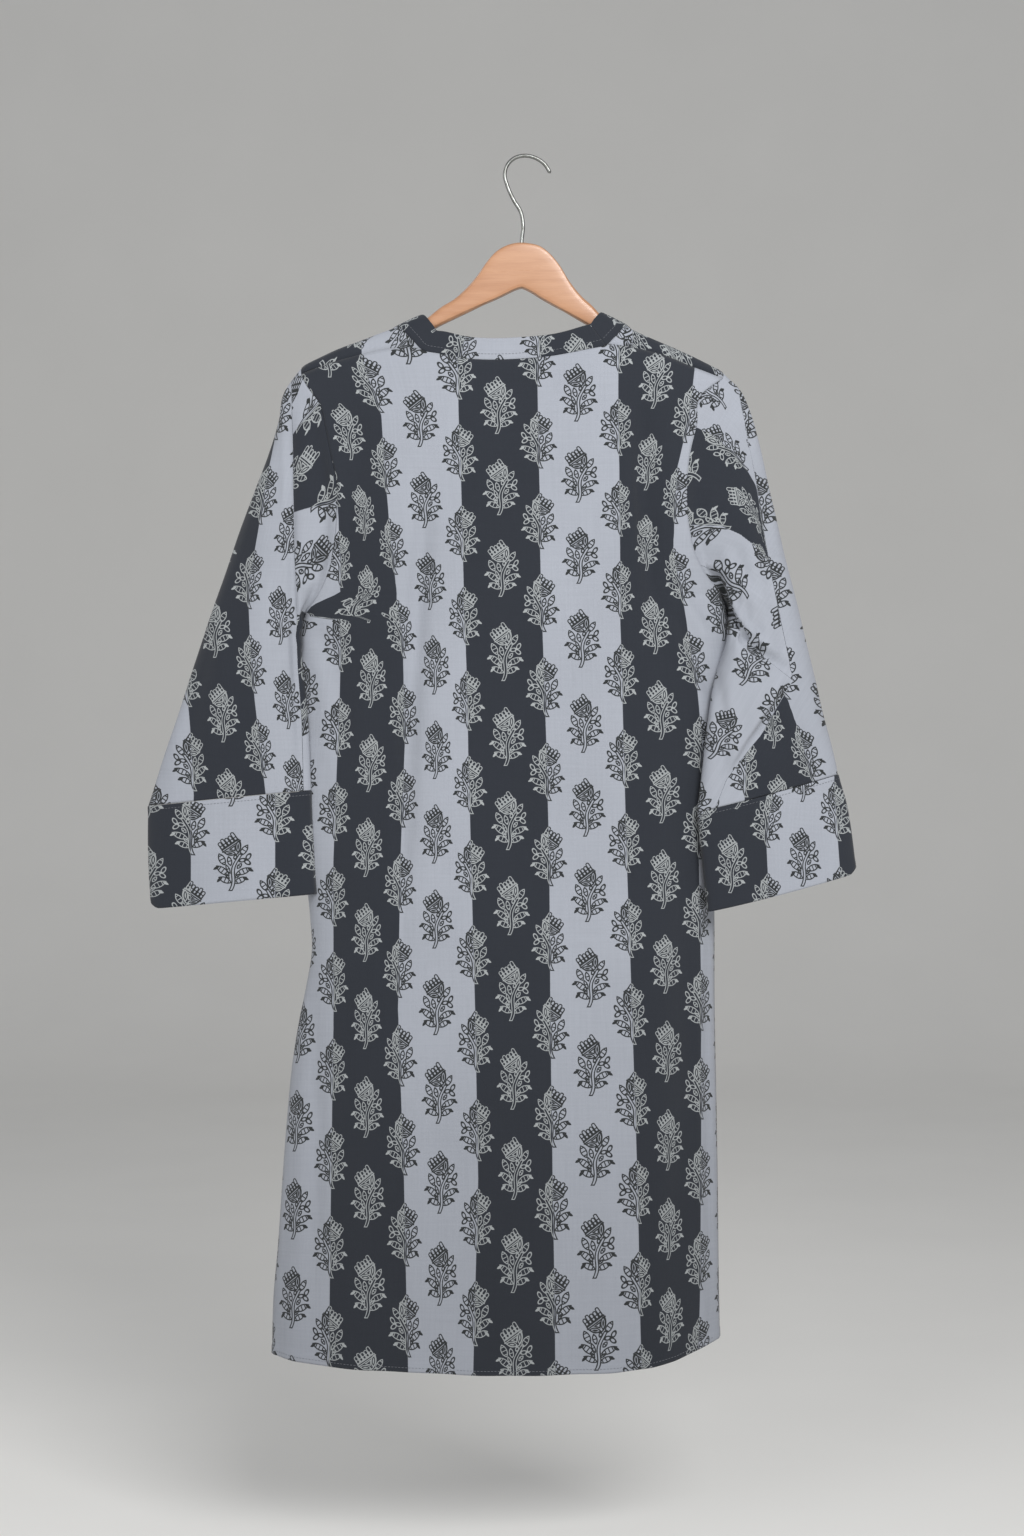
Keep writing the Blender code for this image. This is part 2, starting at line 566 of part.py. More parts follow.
def arm_stations(rows):
    """Sections of an arm that follows the ridge just under the cloth."""
    table = np.array(rows)
    steps = int(np.ptp(table[:, 0]) / ARM_STEP)
    inner = np.linspace(table[0, 0], table[-1, 0], steps)[1:-1]
    across = sorted(set(np.concatenate([table[:, 0], inner]).round(1)))
    across = [a for i, a in enumerate(across) if i == 0 or a - across[i - 1] > 1.2]
    stations = []
    for x in across:
        height = float(np.interp(x, table[:, 0], table[:, 1]))
        clear = float(np.interp(x, table[:, 0], table[:, 2]))
        top = float(curve(RIDGE, x)) - clear - 0.5 * max(0.0, 15.0 - height)
        stations.append((x, top, top - height))
    return stations


def make_hanger():
    stations = arm_stations(LEFT_ARM) + HUMP + arm_stations(RIGHT_ARM)
    name = "hanger_body"
    mesh = bpy.data.meshes.new(name)
    bm = bmesh.new()
    rings = []
    for x, top, low in stations:
        k = min(1.0, (top - low) / 15.0)
        w = ARM_HALF * (0.55 + 0.45 * k)
        shape = [
            (0.0, top), (0.42 * w, top - 0.5 * k), (0.77 * w, top - 2.2 * k), (w, top - 5.5 * k),
            (w, low + 3.5 * k), (0.77 * w, low + 1.2 * k), (0.42 * w, low),
        ]
        shape += [(-y, z) for y, z in shape[:0:-1]]
        rings.append([bm.verts.new((x * MM, y * MM, z * MM)) for y, z in shape])
    sides = len(rings[0])
    for a, b in zip(rings, rings[1:]):
        for j in range(sides):
            k = (j + 1) % sides
            bm.faces.new((a[j], a[k], b[k], b[j]))
    bm.faces.new(rings[0])
    bm.faces.new(rings[-1])
    hanger = finish(name, mesh, bm, WOOD)
    drill_mesh = bpy.data.meshes.new("stem_hole")
    drill_bm = bmesh.new()
    low = STEM_FOOT - 2 * GAP
    high = -70.0
    bmesh.ops.create_cone(
        drill_bm, cap_ends=True, segments=16, radius1=HOLE * MM, radius2=HOLE * MM,
        depth=(high - low) * MM,
    )
    bmesh.ops.translate(drill_bm, verts=drill_bm.verts, vec=(0.0001, 0, (high + low) / 2 * MM))
    drill_bm.to_mesh(drill_mesh)
    drill_bm.free()
    drill = bpy.data.objects.new("stem_hole", drill_mesh)
    bpy.context.collection.objects.link(drill)
    drill.hide_render = True
    drill.display_type = "WIRE"
    cut = hanger.modifiers.new("stem_hole", "BOOLEAN")
    cut.operation = "DIFFERENCE"
    cut.solver = "EXACT"
    cut.object = drill
    return hanger


def make_hook():
    rows = np.array(HOOK)
    reach = np.concatenate([[0], np.cumsum(np.hypot(*np.diff(rows, axis=0).T))])
    at = np.linspace(0, reach[-1], HOOK_STEPS)
    x = curve(np.stack([reach, rows[:, 0]], -1), at)
    z = curve(np.stack([reach, rows[:, 1]], -1), at)
    dx = np.gradient(x)
    dz = np.gradient(z)
    size = np.hypot(dx, dz)
    name = "hook"
    mesh = bpy.data.meshes.new(name)
    bm = bmesh.new()
    rings = []
    for i in range(HOOK_STEPS):
        ring = []
        for j in range(HOOK_SIDES):
            angle = 2 * pi * j / HOOK_SIDES
            side = WIRE * np.cos(angle)
            place = (
                x[i] + dz[i] / size[i] * side,
                WIRE * np.sin(angle),
                z[i] - dx[i] / size[i] * side,
            )
            ring.append(bm.verts.new([c * MM for c in place]))
        rings.append(ring)
    for a, b in zip(rings, rings[1:]):
        for j in range(HOOK_SIDES):
            k = (j + 1) % HOOK_SIDES
            bm.faces.new((a[j], a[k], b[k], b[j]))
    bm.faces.new(rings[0])
    bm.faces.new(rings[-1])
    return finish(name, mesh, bm, STEEL)


for old in list(bpy.data.objects):
    bpy.data.objects.remove(old, do_unlink=True)

back_points, back_inward = make_back()
front_points, front_inward = make_front()
band_points, band_inward = make_band(back_points)
left_hole, low = armhole_ring(back_points, front_points, 0)
right_hole, low = armhole_ring(back_points, front_points, -1)
left_rings, left_inward = make_sleeve(left_hole, low, LEFT_SLEEVE, LEFT_SLEEVE_FOLDS, -1)
right_rings, right_inward = make_sleeve(right_hole, low, RIGHT_SLEEVE, RIGHT_SLEEVE_FOLDS, 1)
left_cuff, left_cuff_inward = make_cuff(
    LEFT_CUFF, *ring_shares(left_hole, low), left_rings, left_inward
)
right_cuff, right_cuff_inward = make_cuff(
    RIGHT_CUFF, *ring_shares(right_hole, low), right_rings, right_inward
)

shell("back_panel", back_points, back_inward, False, CLOTH)
shell("front_panel", front_points, front_inward, False, CLOTH)
shell("neck_band", band_points, band_inward, True, CLOTH)
shell("sleeve_left", left_rings, left_inward, True, CLOTH)
shell("sleeve_right", right_rings, right_inward, True, CLOTH)
shell("cuff_left", left_cuff, left_cuff_inward, True, CLOTH)
shell("cuff_right", right_cuff, right_cuff_inward, True, CLOTH)
make_hanger()
make_hook()
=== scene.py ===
import bpy
import bmesh
import numpy as np
from math import cos, pi, radians, sin
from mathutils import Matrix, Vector


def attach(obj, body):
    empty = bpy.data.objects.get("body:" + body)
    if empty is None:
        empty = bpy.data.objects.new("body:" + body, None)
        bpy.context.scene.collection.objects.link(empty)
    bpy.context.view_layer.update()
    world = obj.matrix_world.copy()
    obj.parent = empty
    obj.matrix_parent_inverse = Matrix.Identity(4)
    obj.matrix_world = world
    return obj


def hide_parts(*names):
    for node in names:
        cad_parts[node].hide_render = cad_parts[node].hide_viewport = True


# Kurta tunic hung on a wooden hanger, seen from its back.
# Lengths are in millimetres in this script and become metres when a mesh is made.
# +Z is up, the back of the tunic faces -Y, and the origin is the top inside the hook.

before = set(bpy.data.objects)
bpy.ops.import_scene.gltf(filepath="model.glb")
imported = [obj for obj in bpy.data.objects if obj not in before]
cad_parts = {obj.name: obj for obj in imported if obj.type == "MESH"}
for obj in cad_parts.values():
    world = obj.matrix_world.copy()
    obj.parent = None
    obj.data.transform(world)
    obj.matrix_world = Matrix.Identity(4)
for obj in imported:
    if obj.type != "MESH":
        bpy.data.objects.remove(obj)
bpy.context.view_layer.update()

MM = 0.001
CLOTH = 0.7            # thickness of the cloth that shows
ROLL = 8.2             # radius of the cloth where it turns over the arms of the hanger
FILL = 90.0            # length over which the body fills out below the shoulders
BAND_WIDTH = 20.0
HEM_Z = -1168.0
FRONT_NECK_Z = -305.0
GRID = 3.4             # spacing of the points on the cloth

# Camera: level, looking along +Y
CAMERA = (-9.2, -2500.0, -592.0)
FRAME_HEIGHT = 1489.9  # what the picture's height covers in the plane of the hook
SENSOR = 36.0

# Sizes shared with the solids
SIDE_ROWS = 14         # rows from underarm to hem
EVEN_TOP = -330.0      # below this height the columns spread out evenly
EVEN_RUN = 420.0
SHOULDER_COLUMNS = 7
BACK_NECK_COLUMNS = 12
ARM_HALF = 6.0         # half the thickness of the wood
WIRE = 1.9             # radius of the hook's wire

# Rows from ridge to underarm, as degrees round half a circle
ARMHOLE_ANGLES = [0, 8, 15, 22, 30, 45, 60, 75, 90, 105, 120, 135, 150, 165, 180]
SEAM_ROW = 2          # the row of that list where the shoulder seam lies
# Rows from the shoulder seam over to the ridge, as shares of the way
TURN_ROWS = [0.0, 0.3, 0.55, 0.75, 0.88]
# Columns on the neck edge from the shoulder seam to the ridge, as shares of the way
TURN_COLUMNS = [0.0, 0.3, 0.5, 0.65, 0.78, 0.9, 1.0]
# Columns down each half of the front neckline, as angles in radians
NECK_ANGLES = [0.005, 0.03, 0.11, 0.26, 0.52, 0.85, 1.2]

# Shoulder ridge, carried on over the neck opening: across, up
RIDGE = [
    (-236.0, -228.0), (-226.5, -217.3), (-220.7, -209.7), (-212.8, -203.6), (-193.5, -193.7),
    (-178.0, -186.2), (-158.6, -178.4), (-140.2, -171.0), (-119.8, -163.0), (-103.3, -155.2),
    (-79.1, -149.4), (-0.5, -143.6), (66.4, -146.5), (82.0, -152.3), (101.4, -162.5),
    (115.0, -169.6), (133.0, -178.6), (150.0, -186.6), (165.0, -193.8), (181.0, -201.6),
    (194.3, -207.8), (203.0, -213.5),
]

# Edges of both panels, down the armhole, the side seam and the slit: up, across
LEFT_EDGE = [
    (-203.0, -212.8), (-211.5, -212.8), (-221.0, -208.4), (-240.2, -195.1), (-267.0, -187.9),
    (-291.3, -183.0),
    (-315.4, -177.6), (-344.1, -177.1), (-377.5, -180.2), (-405.7, -186.6), (-429.1, -198.9),
    (-445.9, -212.4), (-476.9, -216.5), (-525.5, -217.5), (-593.6, -216.6), (-642.3, -214.7),
    (-681.3, -211.8), (-710.5, -207.9), (-739.7, -205.0), (-769.0, -203.6), (-803.2, -209.0),
    (-836.3, -215.8), (-866.8, -220.9), (-934.3, -227.9), (-1004.0, -232.9), (-1059.1, -236.5),
    (-1111.9, -240.9), (-1170.0, -242.4),
]
RIGHT_EDGE = [
    (-207.0, 194.3), (-215.5, 194.3), (-221.5, 185.5), (-229.5, 175.8), (-262.2, 168.5),
    (-291.3, 161.6),
    (-325.0, 158.7), (-363.2, 161.7), (-389.5, 168.9), (-407.8, 180.0), (-424.3, 195.1),
    (-446.0, 201.0), (-468.9, 202.3), (-498.1, 197.4), (-538.1, 192.5), (-578.0, 188.7),
    (-622.9, 186.8), (-681.5, 187.0), (-731.4, 188.1), (-811.9, 188.4), (-936.0, 190.9),
    (-999.1, 192.0), (-1105.9, 193.3), (-1170.0, 194.5),
]
LEFT_TIP, RIGHT_TIP = -203.6, -207.8
LEFT_UNDERARM, RIGHT_UNDERARM = -445.9, -424.3

# Depth of the body: up, left edge, right edge, bulge of the back, bulge of the front
DEPTH = [
    (-140.0, 0.0, 0.0, 38.0, 32.0), (-220.0, 0.0, 0.0, 40.0, 34.0),
    (-430.0, 2.0, 6.0, 45.0, 36.0), (-600.0, 3.0, 9.0, 50.0, 36.0),
    (-800.0, 4.0, 15.0, 56.0, 35.0), (-1000.0, 6.0, 23.0, 60.0, 34.0),
    (-1170.0, 8.0, 30.0, 63.0, 34.0),
]

# Shoulder seams, which lie behind the ridge: across, up
LEFT_SEAM = [
    (-212.8, -211.0), (-189.1, -202.0), (-170.7, -196.4), (-152.3, -191.9), (-132.0, -187.5),
    (-113.6, -186.6), (-94.2, -187.9),
]
RIGHT_SEAM = [
    (79.7, -183.0), (98.0, -184.5), (118.0, -188.0), (140.2, -194.0), (159.6, -202.0),
    (177.0, -208.4), (194.3, -215.3),
]

# Back neckline between the seams: across, up
BACK_NECK = [
    (-94.2, -187.9), (-73.8, -192.4), (-52.6, -196.5), (-30.4, -197.8), (-3.4, -196.9),
    (30.3, -193.8), (56.4, -188.5), (79.7, -183.0),
]
NECK_CENTRE = (-8.0, 20.0)  # across, and down the front
NECK_MARGIN = 4.5          # first row of the front outside the neckline
TURN_SPAN = 12.0           # length of neck edge that a direction is taken over
LEFT_RIDGE_NECK = -119.8   # where the neck edge crosses the ridge
RIGHT_RIDGE_NECK = 101.4

# Folds of the back: across and up at each end, half width, depth
BACK_FOLDS = [
    (-92.0, -300.0, -119.0, -730.0, 13.0, 6.0),
    (118.0, -230.0, 130.0, -480.0, 13.0, 6.0),
]

# Sleeve rings after the armhole: outer across, outer up, inner across, inner up,
# inner depth, half depth
LEFT_SLEEVE = [
    (-223.4, -215.6, -217.0, -448.0, 1.5, 27.0), (-232.1, -231.1, -219.3, -455.0, 1.0, 27.0),
    (-235.8, -254.4, -219.8, -464.0, 0.0, 26.0), (-246.0, -288.3, -219.5, -475.0, -1.5, 25.0),
    (-259.3, -324.2, -218.8, -487.0, -3.5, 24.0), (-272.8, -362.0, -217.5, -501.0, -6.0, 23.0),
    (-286.4, -402.7, -215.8, -516.0, -9.0, 22.0), (-301.0, -444.4, -214.3, -533.0, -12.0, 21.0),
    (-315.5, -487.0, -213.0, -552.0, -14.0, 20.0), (-331.0, -534.5, -212.2, -573.0, -15.0, 18.5),
    (-346.5, -579.1, -211.5, -594.0, -16.0, 17.0), (-362.0, -628.5, -210.7, -613.4, -16.0, 15.5),
]
RIGHT_SLEEVE = [
    (201.1, -214.7, 199.0, -426.5, 6.5, 27.0), (212.7, -227.3, 203.0, -433.0, 6.0, 27.0),
    (221.5, -247.6, 205.5, -442.0, 5.0, 26.5), (228.2, -270.9, 206.5, -454.0, 3.0, 26.0),
    (237.0, -306.7, 205.5, -468.0, 0.0, 25.0), (245.7, -343.6, 201.0, -483.5, -4.0, 24.5),
    (254.4, -382.3, 195.5, -500.0, -9.0, 24.0), (264.1, -421.1, 191.0, -518.5, -14.0, 23.5),
    (273.8, -461.8, 187.9, -538.6, -18.0, 23.0), (282.5, -498.7, 185.0, -559.8, -20.0, 22.0),
    (291.2, -536.5, 182.6, -582.0, -20.0, 20.5), (300.0, -569.4, 180.1, -605.2, -20.0, 18.5),
    (306.8, -598.0, 176.8, -634.2, -20.0, 16.5),
]
LEFT_SLEEVE_FOLDS = [
    (-226.0, -330.0, -219.0, -620.0, 6.0, 3.5),
]
RIGHT_SLEEVE_FOLDS = [
    (203.0, -436.0, 266.0, -510.0, 10.0, 8.0),
    (266.0, -520.0, 200.0, -610.0, 10.0, 6.0),
]

# Cuff rings below the seam: outer across, outer up, inner across, inner up,
# inner depth, half depth
LEFT_CUFF = [
    (-362.0, -656.0, -210.0, -640.0, -16.0, 15.0),
    (-361.3, -681.9, -208.9, -665.0, -16.0, 14.5), (-360.0, -710.0, -207.3, -693.0, -16.0, 14.0),
    (-358.6, -728.5, -206.1, -713.4, -16.0, 14.0),
]
RIGHT_CUFF = [
    (314.5, -623.0, 179.4, -660.0, -20.0, 16.0),
    (319.0, -648.0, 182.0, -684.0, -20.0, 15.5), (322.6, -676.0, 184.8, -709.0, -20.0, 15.0),
    (324.0, -694.0, 187.2, -730.4, -20.0, 15.0),
]
CORNER_LIFT = 6.0     # rounding of the cuffs' outer lower corners

# Hanger stations clear of the cloth: across, top, bottom
HUMP = [
    (-99.5, -158.4, -174.0), (-92.0, -156.0, -170.6), (-85.0, -150.6, -166.6),
    (-78.1, -145.2, -162.9), (-64.5, -136.8, -156.3), (-53.8, -127.1, -151.2),
    (-42.2, -113.5, -145.5), (-33.5, -100.9, -141.3),
    (-25.7, -92.1, -137.6), (-15.0, -85.4, -132.4), (-7.0, -83.0, -128.6),
    (0.0, -82.4, -126.6), (7.0, -83.0, -129.2), (18.9, -86.3, -136.2), (27.6, -93.1, -141.3),
    (37.3, -104.8, -147.0), (46.1, -119.3, -152.2), (57.7, -133.9, -159.0),
    (68.4, -143.6, -165.2), (77.0, -152.6, -170.0), (84.5, -157.2, -174.5),
]
# Arms of the hanger under the cloth: across, height, drop below the outside of the cloth
LEFT_ARM = [
    (-207.5, 7.0, 2.3), (-206.0, 12.5, 2.3), (-202.0, 15.5, 2.3), (-185.0, 16.5, 2.3),
    (-135.0, 17.7, 2.7), (-120.0, 18.2, 3.2), (-108.0, 18.5, 3.2),
]
RIGHT_ARM = [
    (91.0, 18.5, 3.0), (105.0, 18.0, 2.6), (120.0, 17.5, 2.3), (168.0, 16.5, 2.3),
    (184.0, 15.5, 2.3), (188.0, 12.5, 2.3), (189.5, 7.0, 2.3),
]

# Centre line of the hook: across, up
HOOK = [
    (0.1, -96.0), (0.1, -88.0), (0.1, -81.5), (1.5, -66.0), (-0.9, -52.4), (-7.3, -41.7),
    (-14.1, -26.2), (-16.3, -17.5), (-14.1, -7.8), (-7.3, -0.8), (3.8, 1.9), (15.0, -1.0),
    (22.3, -6.3), (28.1, -15.1),
]

# Stripe edges on the back, in the plane of the hook as the camera sees them:
# up, then across for each edge from light to dark and back
BACK_STRIPES = [
    (-186, -228, -158, -62, 15, 94, 170), (-250, -208, -136, -61, 16, 94, 163),
    (-300, -192, -133, -59, 17, 95, 151), (-337, -178, -130, -58, 18, 95, 149),
    (-380, -176, -126, -57, 18, 96, 147), (-422, -176, -121, -56, 19, 96, 155),
    (-427, -188, -121, -56, 19, 96, 156), (-434, -203, -120, -56, 19, 96, 157),
    (-444, -211, -119, -56, 20, 96, 159), (-448, -176, -118, -56, 20, 96, 160),
    (-477, -176, -115, -54, 21, 97, 165), (-565, -178, -113, -52, 24, 99, 175),
    (-681, -182, -118, -49, 27, 102, 172), (-826, -182, -120, -45, 28, 107, 175),
    (-991, -185, -114, -42, 30, 113, 174), (-1178, -187, -110, -47, 33, 117, 172),
]
# The same on the front
FRONT_STRIPES = [
    (-150, -156, -70, 19, 109, 190, 270), (-420, -150, -68, 16, 100, 182, 262),
    (-1178, -144, -62, 18, 98, 178, 258),
]
# Height of the rows of flowers in the third stripe
FLOWER_ROWS = [
    -240, -319, -397, -478, -561, -642, -725, -807, -893, -979, -1067, -1156,
]
STRIPE = 78.0          # width of a stripe on flat cloth
PITCH = 82.0           # from one row of flowers to the next
SKEW = 0.157           # rise of the rows from stripe to stripe, as a share of the pitch

# Left sleeve: up, then across for the dark stripe's two edges and the next flowers
LEFT_STRIPES = [
    (-235, -304, -235, -223), (-274, -308, -240, -226), (-309, -315, -247, -231),
    (-368, -324, -257, -233), (-419, -333, -266, -232), (-481, -329, -263, -228),
    (-526, -324, -259, -225), (-618, -318, -248, -213),
]
# Stripe edges of the left sleeve's folded underside: across and up at two points
LEFT_CROSS = [(-223, -268, -197, -238), (-223, -344, -179, -332), (-212, -444, -182, -420)]
# Inner fold of the left sleeve: up, across
LEFT_CREASE = [
    (-200, -224), (-312, -223), (-390, -221), (-468, -217), (-545, -213), (-640, -211),
]

# Right sleeve: upper and lower edge of the dark stripe over its cap, across and up
CAP_UPPER = [
    (161, -258), (169, -261), (188, -270), (207, -288), (217, -301), (228, -319),
    (236, -361), (239, -382),
]
CAP_LOWER = [(161, -356), (194, -357), (212, -365), (239, -386)]
# Line from the cap to the pinch at the elbow and back: up, across
ELBOW_LINE = [
    (-210, 207), (-274, 219), (-317, 228), (-386, 240), (-507, 263), (-560, 233),
    (-603, 199), (-637, 185),
]
# Upper edge of the cloth that folds under the elbow: across, up
UNDER_CREASE = [(163, -390), (194, -404), (207, -438), (222, -468), (246, -492), (263, -507)]
# Edges of the dark stripe below the elbow: up, left edge, right edge
RIGHT_STRIPES = [
    (-210, 150, 205), (-274, 160, 217),
    (-317, 163, 228), (-385, 173, 240), (-448, 185, 248), (-518, 217, 255),
    (-560, 219, 270), (-610, 217, 284), (-637, 216, 291),
]

# Creases of the back as the camera sees them: three points, half width, depth, ridge
BACK_CREASES = [
    (-91, -340, -104, -470, -114, -740, 9.0, 3.2, 1.2),
    (-109, -500, -118, -640, -112, -800, 6.0, 2.0, 0.8),
    (118, -240, 117, -332, 131, -450, 8.0, 3.4, 1.5),
    (150, -440, 173, -492, 193, -540, 8.0, 4.0, 2.4),
    (158, -400, 176, -440, 196, -462, 6.0, 2.6, 1.8),
    (-170, -300, -172, -360, -192, -430, 9.0, 3.2, 1.8),
    (-160, -250, -158, -330, -168, -400, 10.0, 2.4, 1.0),
    (-205, -455, -180, -500, -168, -600, 10.0, 2.6, 1.2),
    (60, -420, 62, -560, 66, -760, 11.0, 1.6, 0.6),
    (-20, -500, -14, -800, -18, -1120, 22.0, 2.2, 0.0),
    (148, -600, 160, -850, 150, -1130, 14.0, 2.4, 0.8),
    (-205, -780, -200, -950, -206, -1140, 9.0, 2.6, 1.0),
    (-80, -820, -70, -1000, -76, -1160, 20.0, 2.0, 0.0),
    (90, -800, 84, -980, 92, -1160, 18.0, 1.8, 0.0),
    (184, -640, 181, -900, 184, -1150, 5.0, 2.2, 1.2),
    (-30, -215, 5, -228, 40, -214, 12.0, 1.0, 0.4),
]
# Creases of the front, the sleeves and the cuffs, with the same columns
FRONT_CREASES = [
    (-70, -330, -84, -520, -92, -820, 12.0, 3.0, 1.0),
    (66, -330, 74, -540, 70, -800, 13.0, 3.2, 1.2),
    (-150, -420, -120, -520, -110, -640, 12.0, 2.6, 1.0),
    (150, -410, 128, -500, 118, -600, 12.0, 2.8, 1.2),
    (-8, -420, -4, -700, -14, -1130, 24.0, 2.6, 0.0),
    (-140, -760, -150, -940, -140, -1140, 16.0, 2.6, 0.8),
    (120, -720, 130, -940, 122, -1150, 18.0, 2.8, 0.8),
    (-180, -500, -176, -700, -184, -900, 8.0, 2.2, 1.0),
]
LEFT_SLEEVE_CREASES = [
    (-218, -452, -205, -440, -186, -418, 6.0, 4.5, 2.5),
    (-224, -225, -223, -380, -213, -625, 4.0, 3.2, 1.0),
    (-200, -235, -190, -300, -206, -380, 9.0, 2.6, 1.0),
    (-216, -405, -204, -398, -184, -380, 8.0, 3.0, 1.8),
    (-222, -470, -208, -462, -190, -470, 7.0, 3.0, 2.0),
    (-262, -330, -275, -450, -262, -600, 14.0, 2.2, 0.8),
    (-300, -470, -318, -540, -322, -625, 10.0, 2.0, 0.6),
]
RIGHT_SLEEVE_CREASES = [
    (262, -497, 214, -462, 193, -414, 4.5, 7.5, 4.5),
    (192, -402, 190, -424, 197, -444, 3.5, 6.0, 0.0),
    (170, -414, 180, -397, 197, -404, 4.0, -2.6, 0.0),
    (262, -508, 236, -548, 200, -602, 4.0, 3.6, 2.6),
    (190, -400, 178, -430, 186, -480, 6.0, 3.5, 2.0),
    (206, -372, 216, -400, 236, -426, 8.0, 2.6, 1.6),
    (232, -300, 240, -400, 262, -500, 9.0, 2.4, 1.0),
    (262, -512, 280, -560, 292, -604, 9.0, 2.4, 1.0),
    (188, -500, 196, -560, 190, -620, 7.0, 3.0, 1.2),
    (176, -232, 196, -250, 214, -236, 7.0, 1.6, 0.8),
    (222, -500, 214, -540, 226, -590, 9.0, 2.2, 0.8),
]
CUFF_CREASES = [
    (-330, -640, -322, -690, -330, -725, 12.0, 1.2, 0.4),
    (-262, -630, -250, -680, -258, -720, 14.0, 1.6, 0.6),
    (222, -640, 232, -690, 226, -730, 12.0, 1.4, 0.5),
    (290, -610, 296, -650, 292, -700, 12.0, 1.2, 0.4),
]


# Seams, hem, slits, cuffs and neck band
EDGE_RUN = 40.0        # length over which a row follows its moved end
SLIT_Z = -770.0        # top of the side slits
SLIT_OPEN = 4.0        # how far a slit stands open at the hem
SLIT_RUN = 400.0       # length over which it opens
HEM_RISE = (-930.0, 238.0)  # where the hem's rise begins, and how far down it grows
HEM_TURN = 9.0         # width of the turned hem
LAP = 8.0              # how far a sleeve's inner fold lies over the body
TUCK = 2.5             # how far a sleeve runs under the body's edge
CUFF_PROUD = 0.45      # how far a cuff stands off the sleeve
CUFF_START = (0.4, 2.0)     # a cuff's first rows, from the sleeve's end
# Rise of the hem along its width: across, up
HEM_LIFT = [
    (-243, 8), (-220, 5), (-150, 1), (-60, -2), (30, -4), (90, -4), (125, -1), (150, 4),
    (175, 12), (195, 20),
]
# Rows of the neck band from the neck edge inwards, and how far each stands proud
BAND_ROWS = [-1.6, -1.2, 1.0, 4.0, 8.0, 12.0, 16.0, 19.0, 20.0]
BAND_PROUD = [0.1, 0.6, 0.75, 0.65, 0.6, 0.6, 0.65, 0.7, 0.5]
BAND_LIGHT = -58.0     # where the band's light stripe starts, across
BAND_STRIPE = 75.0     # width of a stripe on the band
BAND_FLOWERS = 0.7355  # place of the band's middle in the rows of flowers
BAND_STEP = 2.4        # from one column of the band to the next
BAND_ENDS = 12         # columns that are read past the band's ends
BACK_NECK_LENGTH = 178.0    # length of the band along the back

# Leaves of the printed flower in millimetres: across, up, turn, half length, half width
FLOWER_LEAVES = [
    (-10.0, 1.4, 26.0, 5.9, 2.7), (-2.9, -0.3, 14.0, 4.4, 1.9), (-9.2, -9.6, 52.0, 7.4, 2.7),
    (-7.2, -18.6, 66.0, 6.2, 2.5), (10.4, 10.2, -34.0, 6.0, 2.4), (9.8, -10.2, -66.0, 7.6, 2.6),
    (7.0, -18.8, -64.0, 6.2, 2.4), (6.2, -5.0, -40.0, 2.9, 1.4), (-4.4, -8.0, 24.0, 4.4, 1.3),
    (-5.2, -14.6, 40.0, 3.0, 1.0), (4.2, -14.8, -52.0, 2.8, 1.0),
]
# Curled tips of the leaves, printed solid, with the same columns
FLOWER_TIPS = [
    (-15.3, -7.0, 118.0, 2.4, 0.8), (-12.6, -18.4, 140.0, 2.4, 0.8),
    (16.4, -8.8, -118.0, 2.4, 0.8), (12.2, -17.4, -108.0, 2.0, 0.8),
]
# Round petals: across, up, turn, half length, half width
FLOWER_PETALS = [
    (14.4, 4.0, -34.0, 3.0, 1.7), (13.5, -1.4, -124.0, 2.9, 1.8),
    (8.8, 0.6, -78.0, 2.9, 1.6), (2.4, 3.6, -20.0, 1.9, 1.3),
]
HEAD = (-2.2, 15.2, 35.0, 1.1, 1.06)   # flower head: across, up, turn, wide, high
# Cup of the head and the two eyes in it, with the columns of the leaves
CUP = (0.2, 0.4, 0.0, 10.4, 8.6)
EYES = [(-4.2, -5.9, 48.0, 4.6, 2.0), (4.6, -5.0, -36.0, 5.2, 2.0)]
STEM = (-11.2, 17.6, 1.3)   # stem: middle, half length, half width
FINGER = 3.4                # from one finger of the head to the next
BAR = 3.6                   # from one bar across a leaf to the next
LINE = 0.58                 # half the width of a dark printed line
FINER = 0.2                 # by how much the light lines are less than that

# Colours on a screen, 0 to 255: the light and dark ground, the lines on each, the inside
LIGHT_GROUND = (158, 162, 171)
LIGHT_LINE = (158, 162, 163)
DARK_GROUND = (38, 42, 50)
DARK_LINE = (40, 43, 44)
FADED = (150, 153, 160)
# Stains of the cloth: place, radius, strength, colour
STAINS = [
    ((-112.0, -52.0, -646.0), 7.5, 0.75, (128, 62, 104)),
    ((-114.0, -52.0, -640.0), 3.0, 0.8, (98, 48, 82)),
    ((141.0, -56.0, -978.0), 4.0, 0.55, (120, 52, 62)),
    ((148.0, -56.0, -984.0), 3.0, 0.5, (120, 52, 62)),
    ((138.0, -56.0, -990.0), 2.5, 0.45, (120, 52, 62)),
]

# Print of the sleeves and cuffs
LEFT_ROW = -361.0           # height of a row of flowers on the left sleeve
LEFT_FOLDED = 62.0          # width of a stripe seen at a slant past the light edge
LEFT_UNDER_PITCH = 84.0     # from one flower to the next on the folded underside
CAP_TURN = 30.0             # slant of the rows of flowers over the right cap, degrees
CAP_PITCH = 84.0
CAP_SHIFT = 0.02
CAP_BELOW = 105.0           # width of the stripe below the cap's dark one
UNDER_MIDDLE = (225.54, -486.94)    # a flower of the right underside, across and up
UNDER_WAY = (0.92, -0.39)   # direction across the stripes there
UNDER_STRIPE = 82.45
UNDER_PITCH = 77.6
ARM_ROW = -600.0            # height of a row of flowers below the right elbow
MASK_EDGE = 4.0             # distance over which one part of the print takes over
LEFT_CUFF_EDGE = -321.0     # light edge of the left cuff's stripe, across
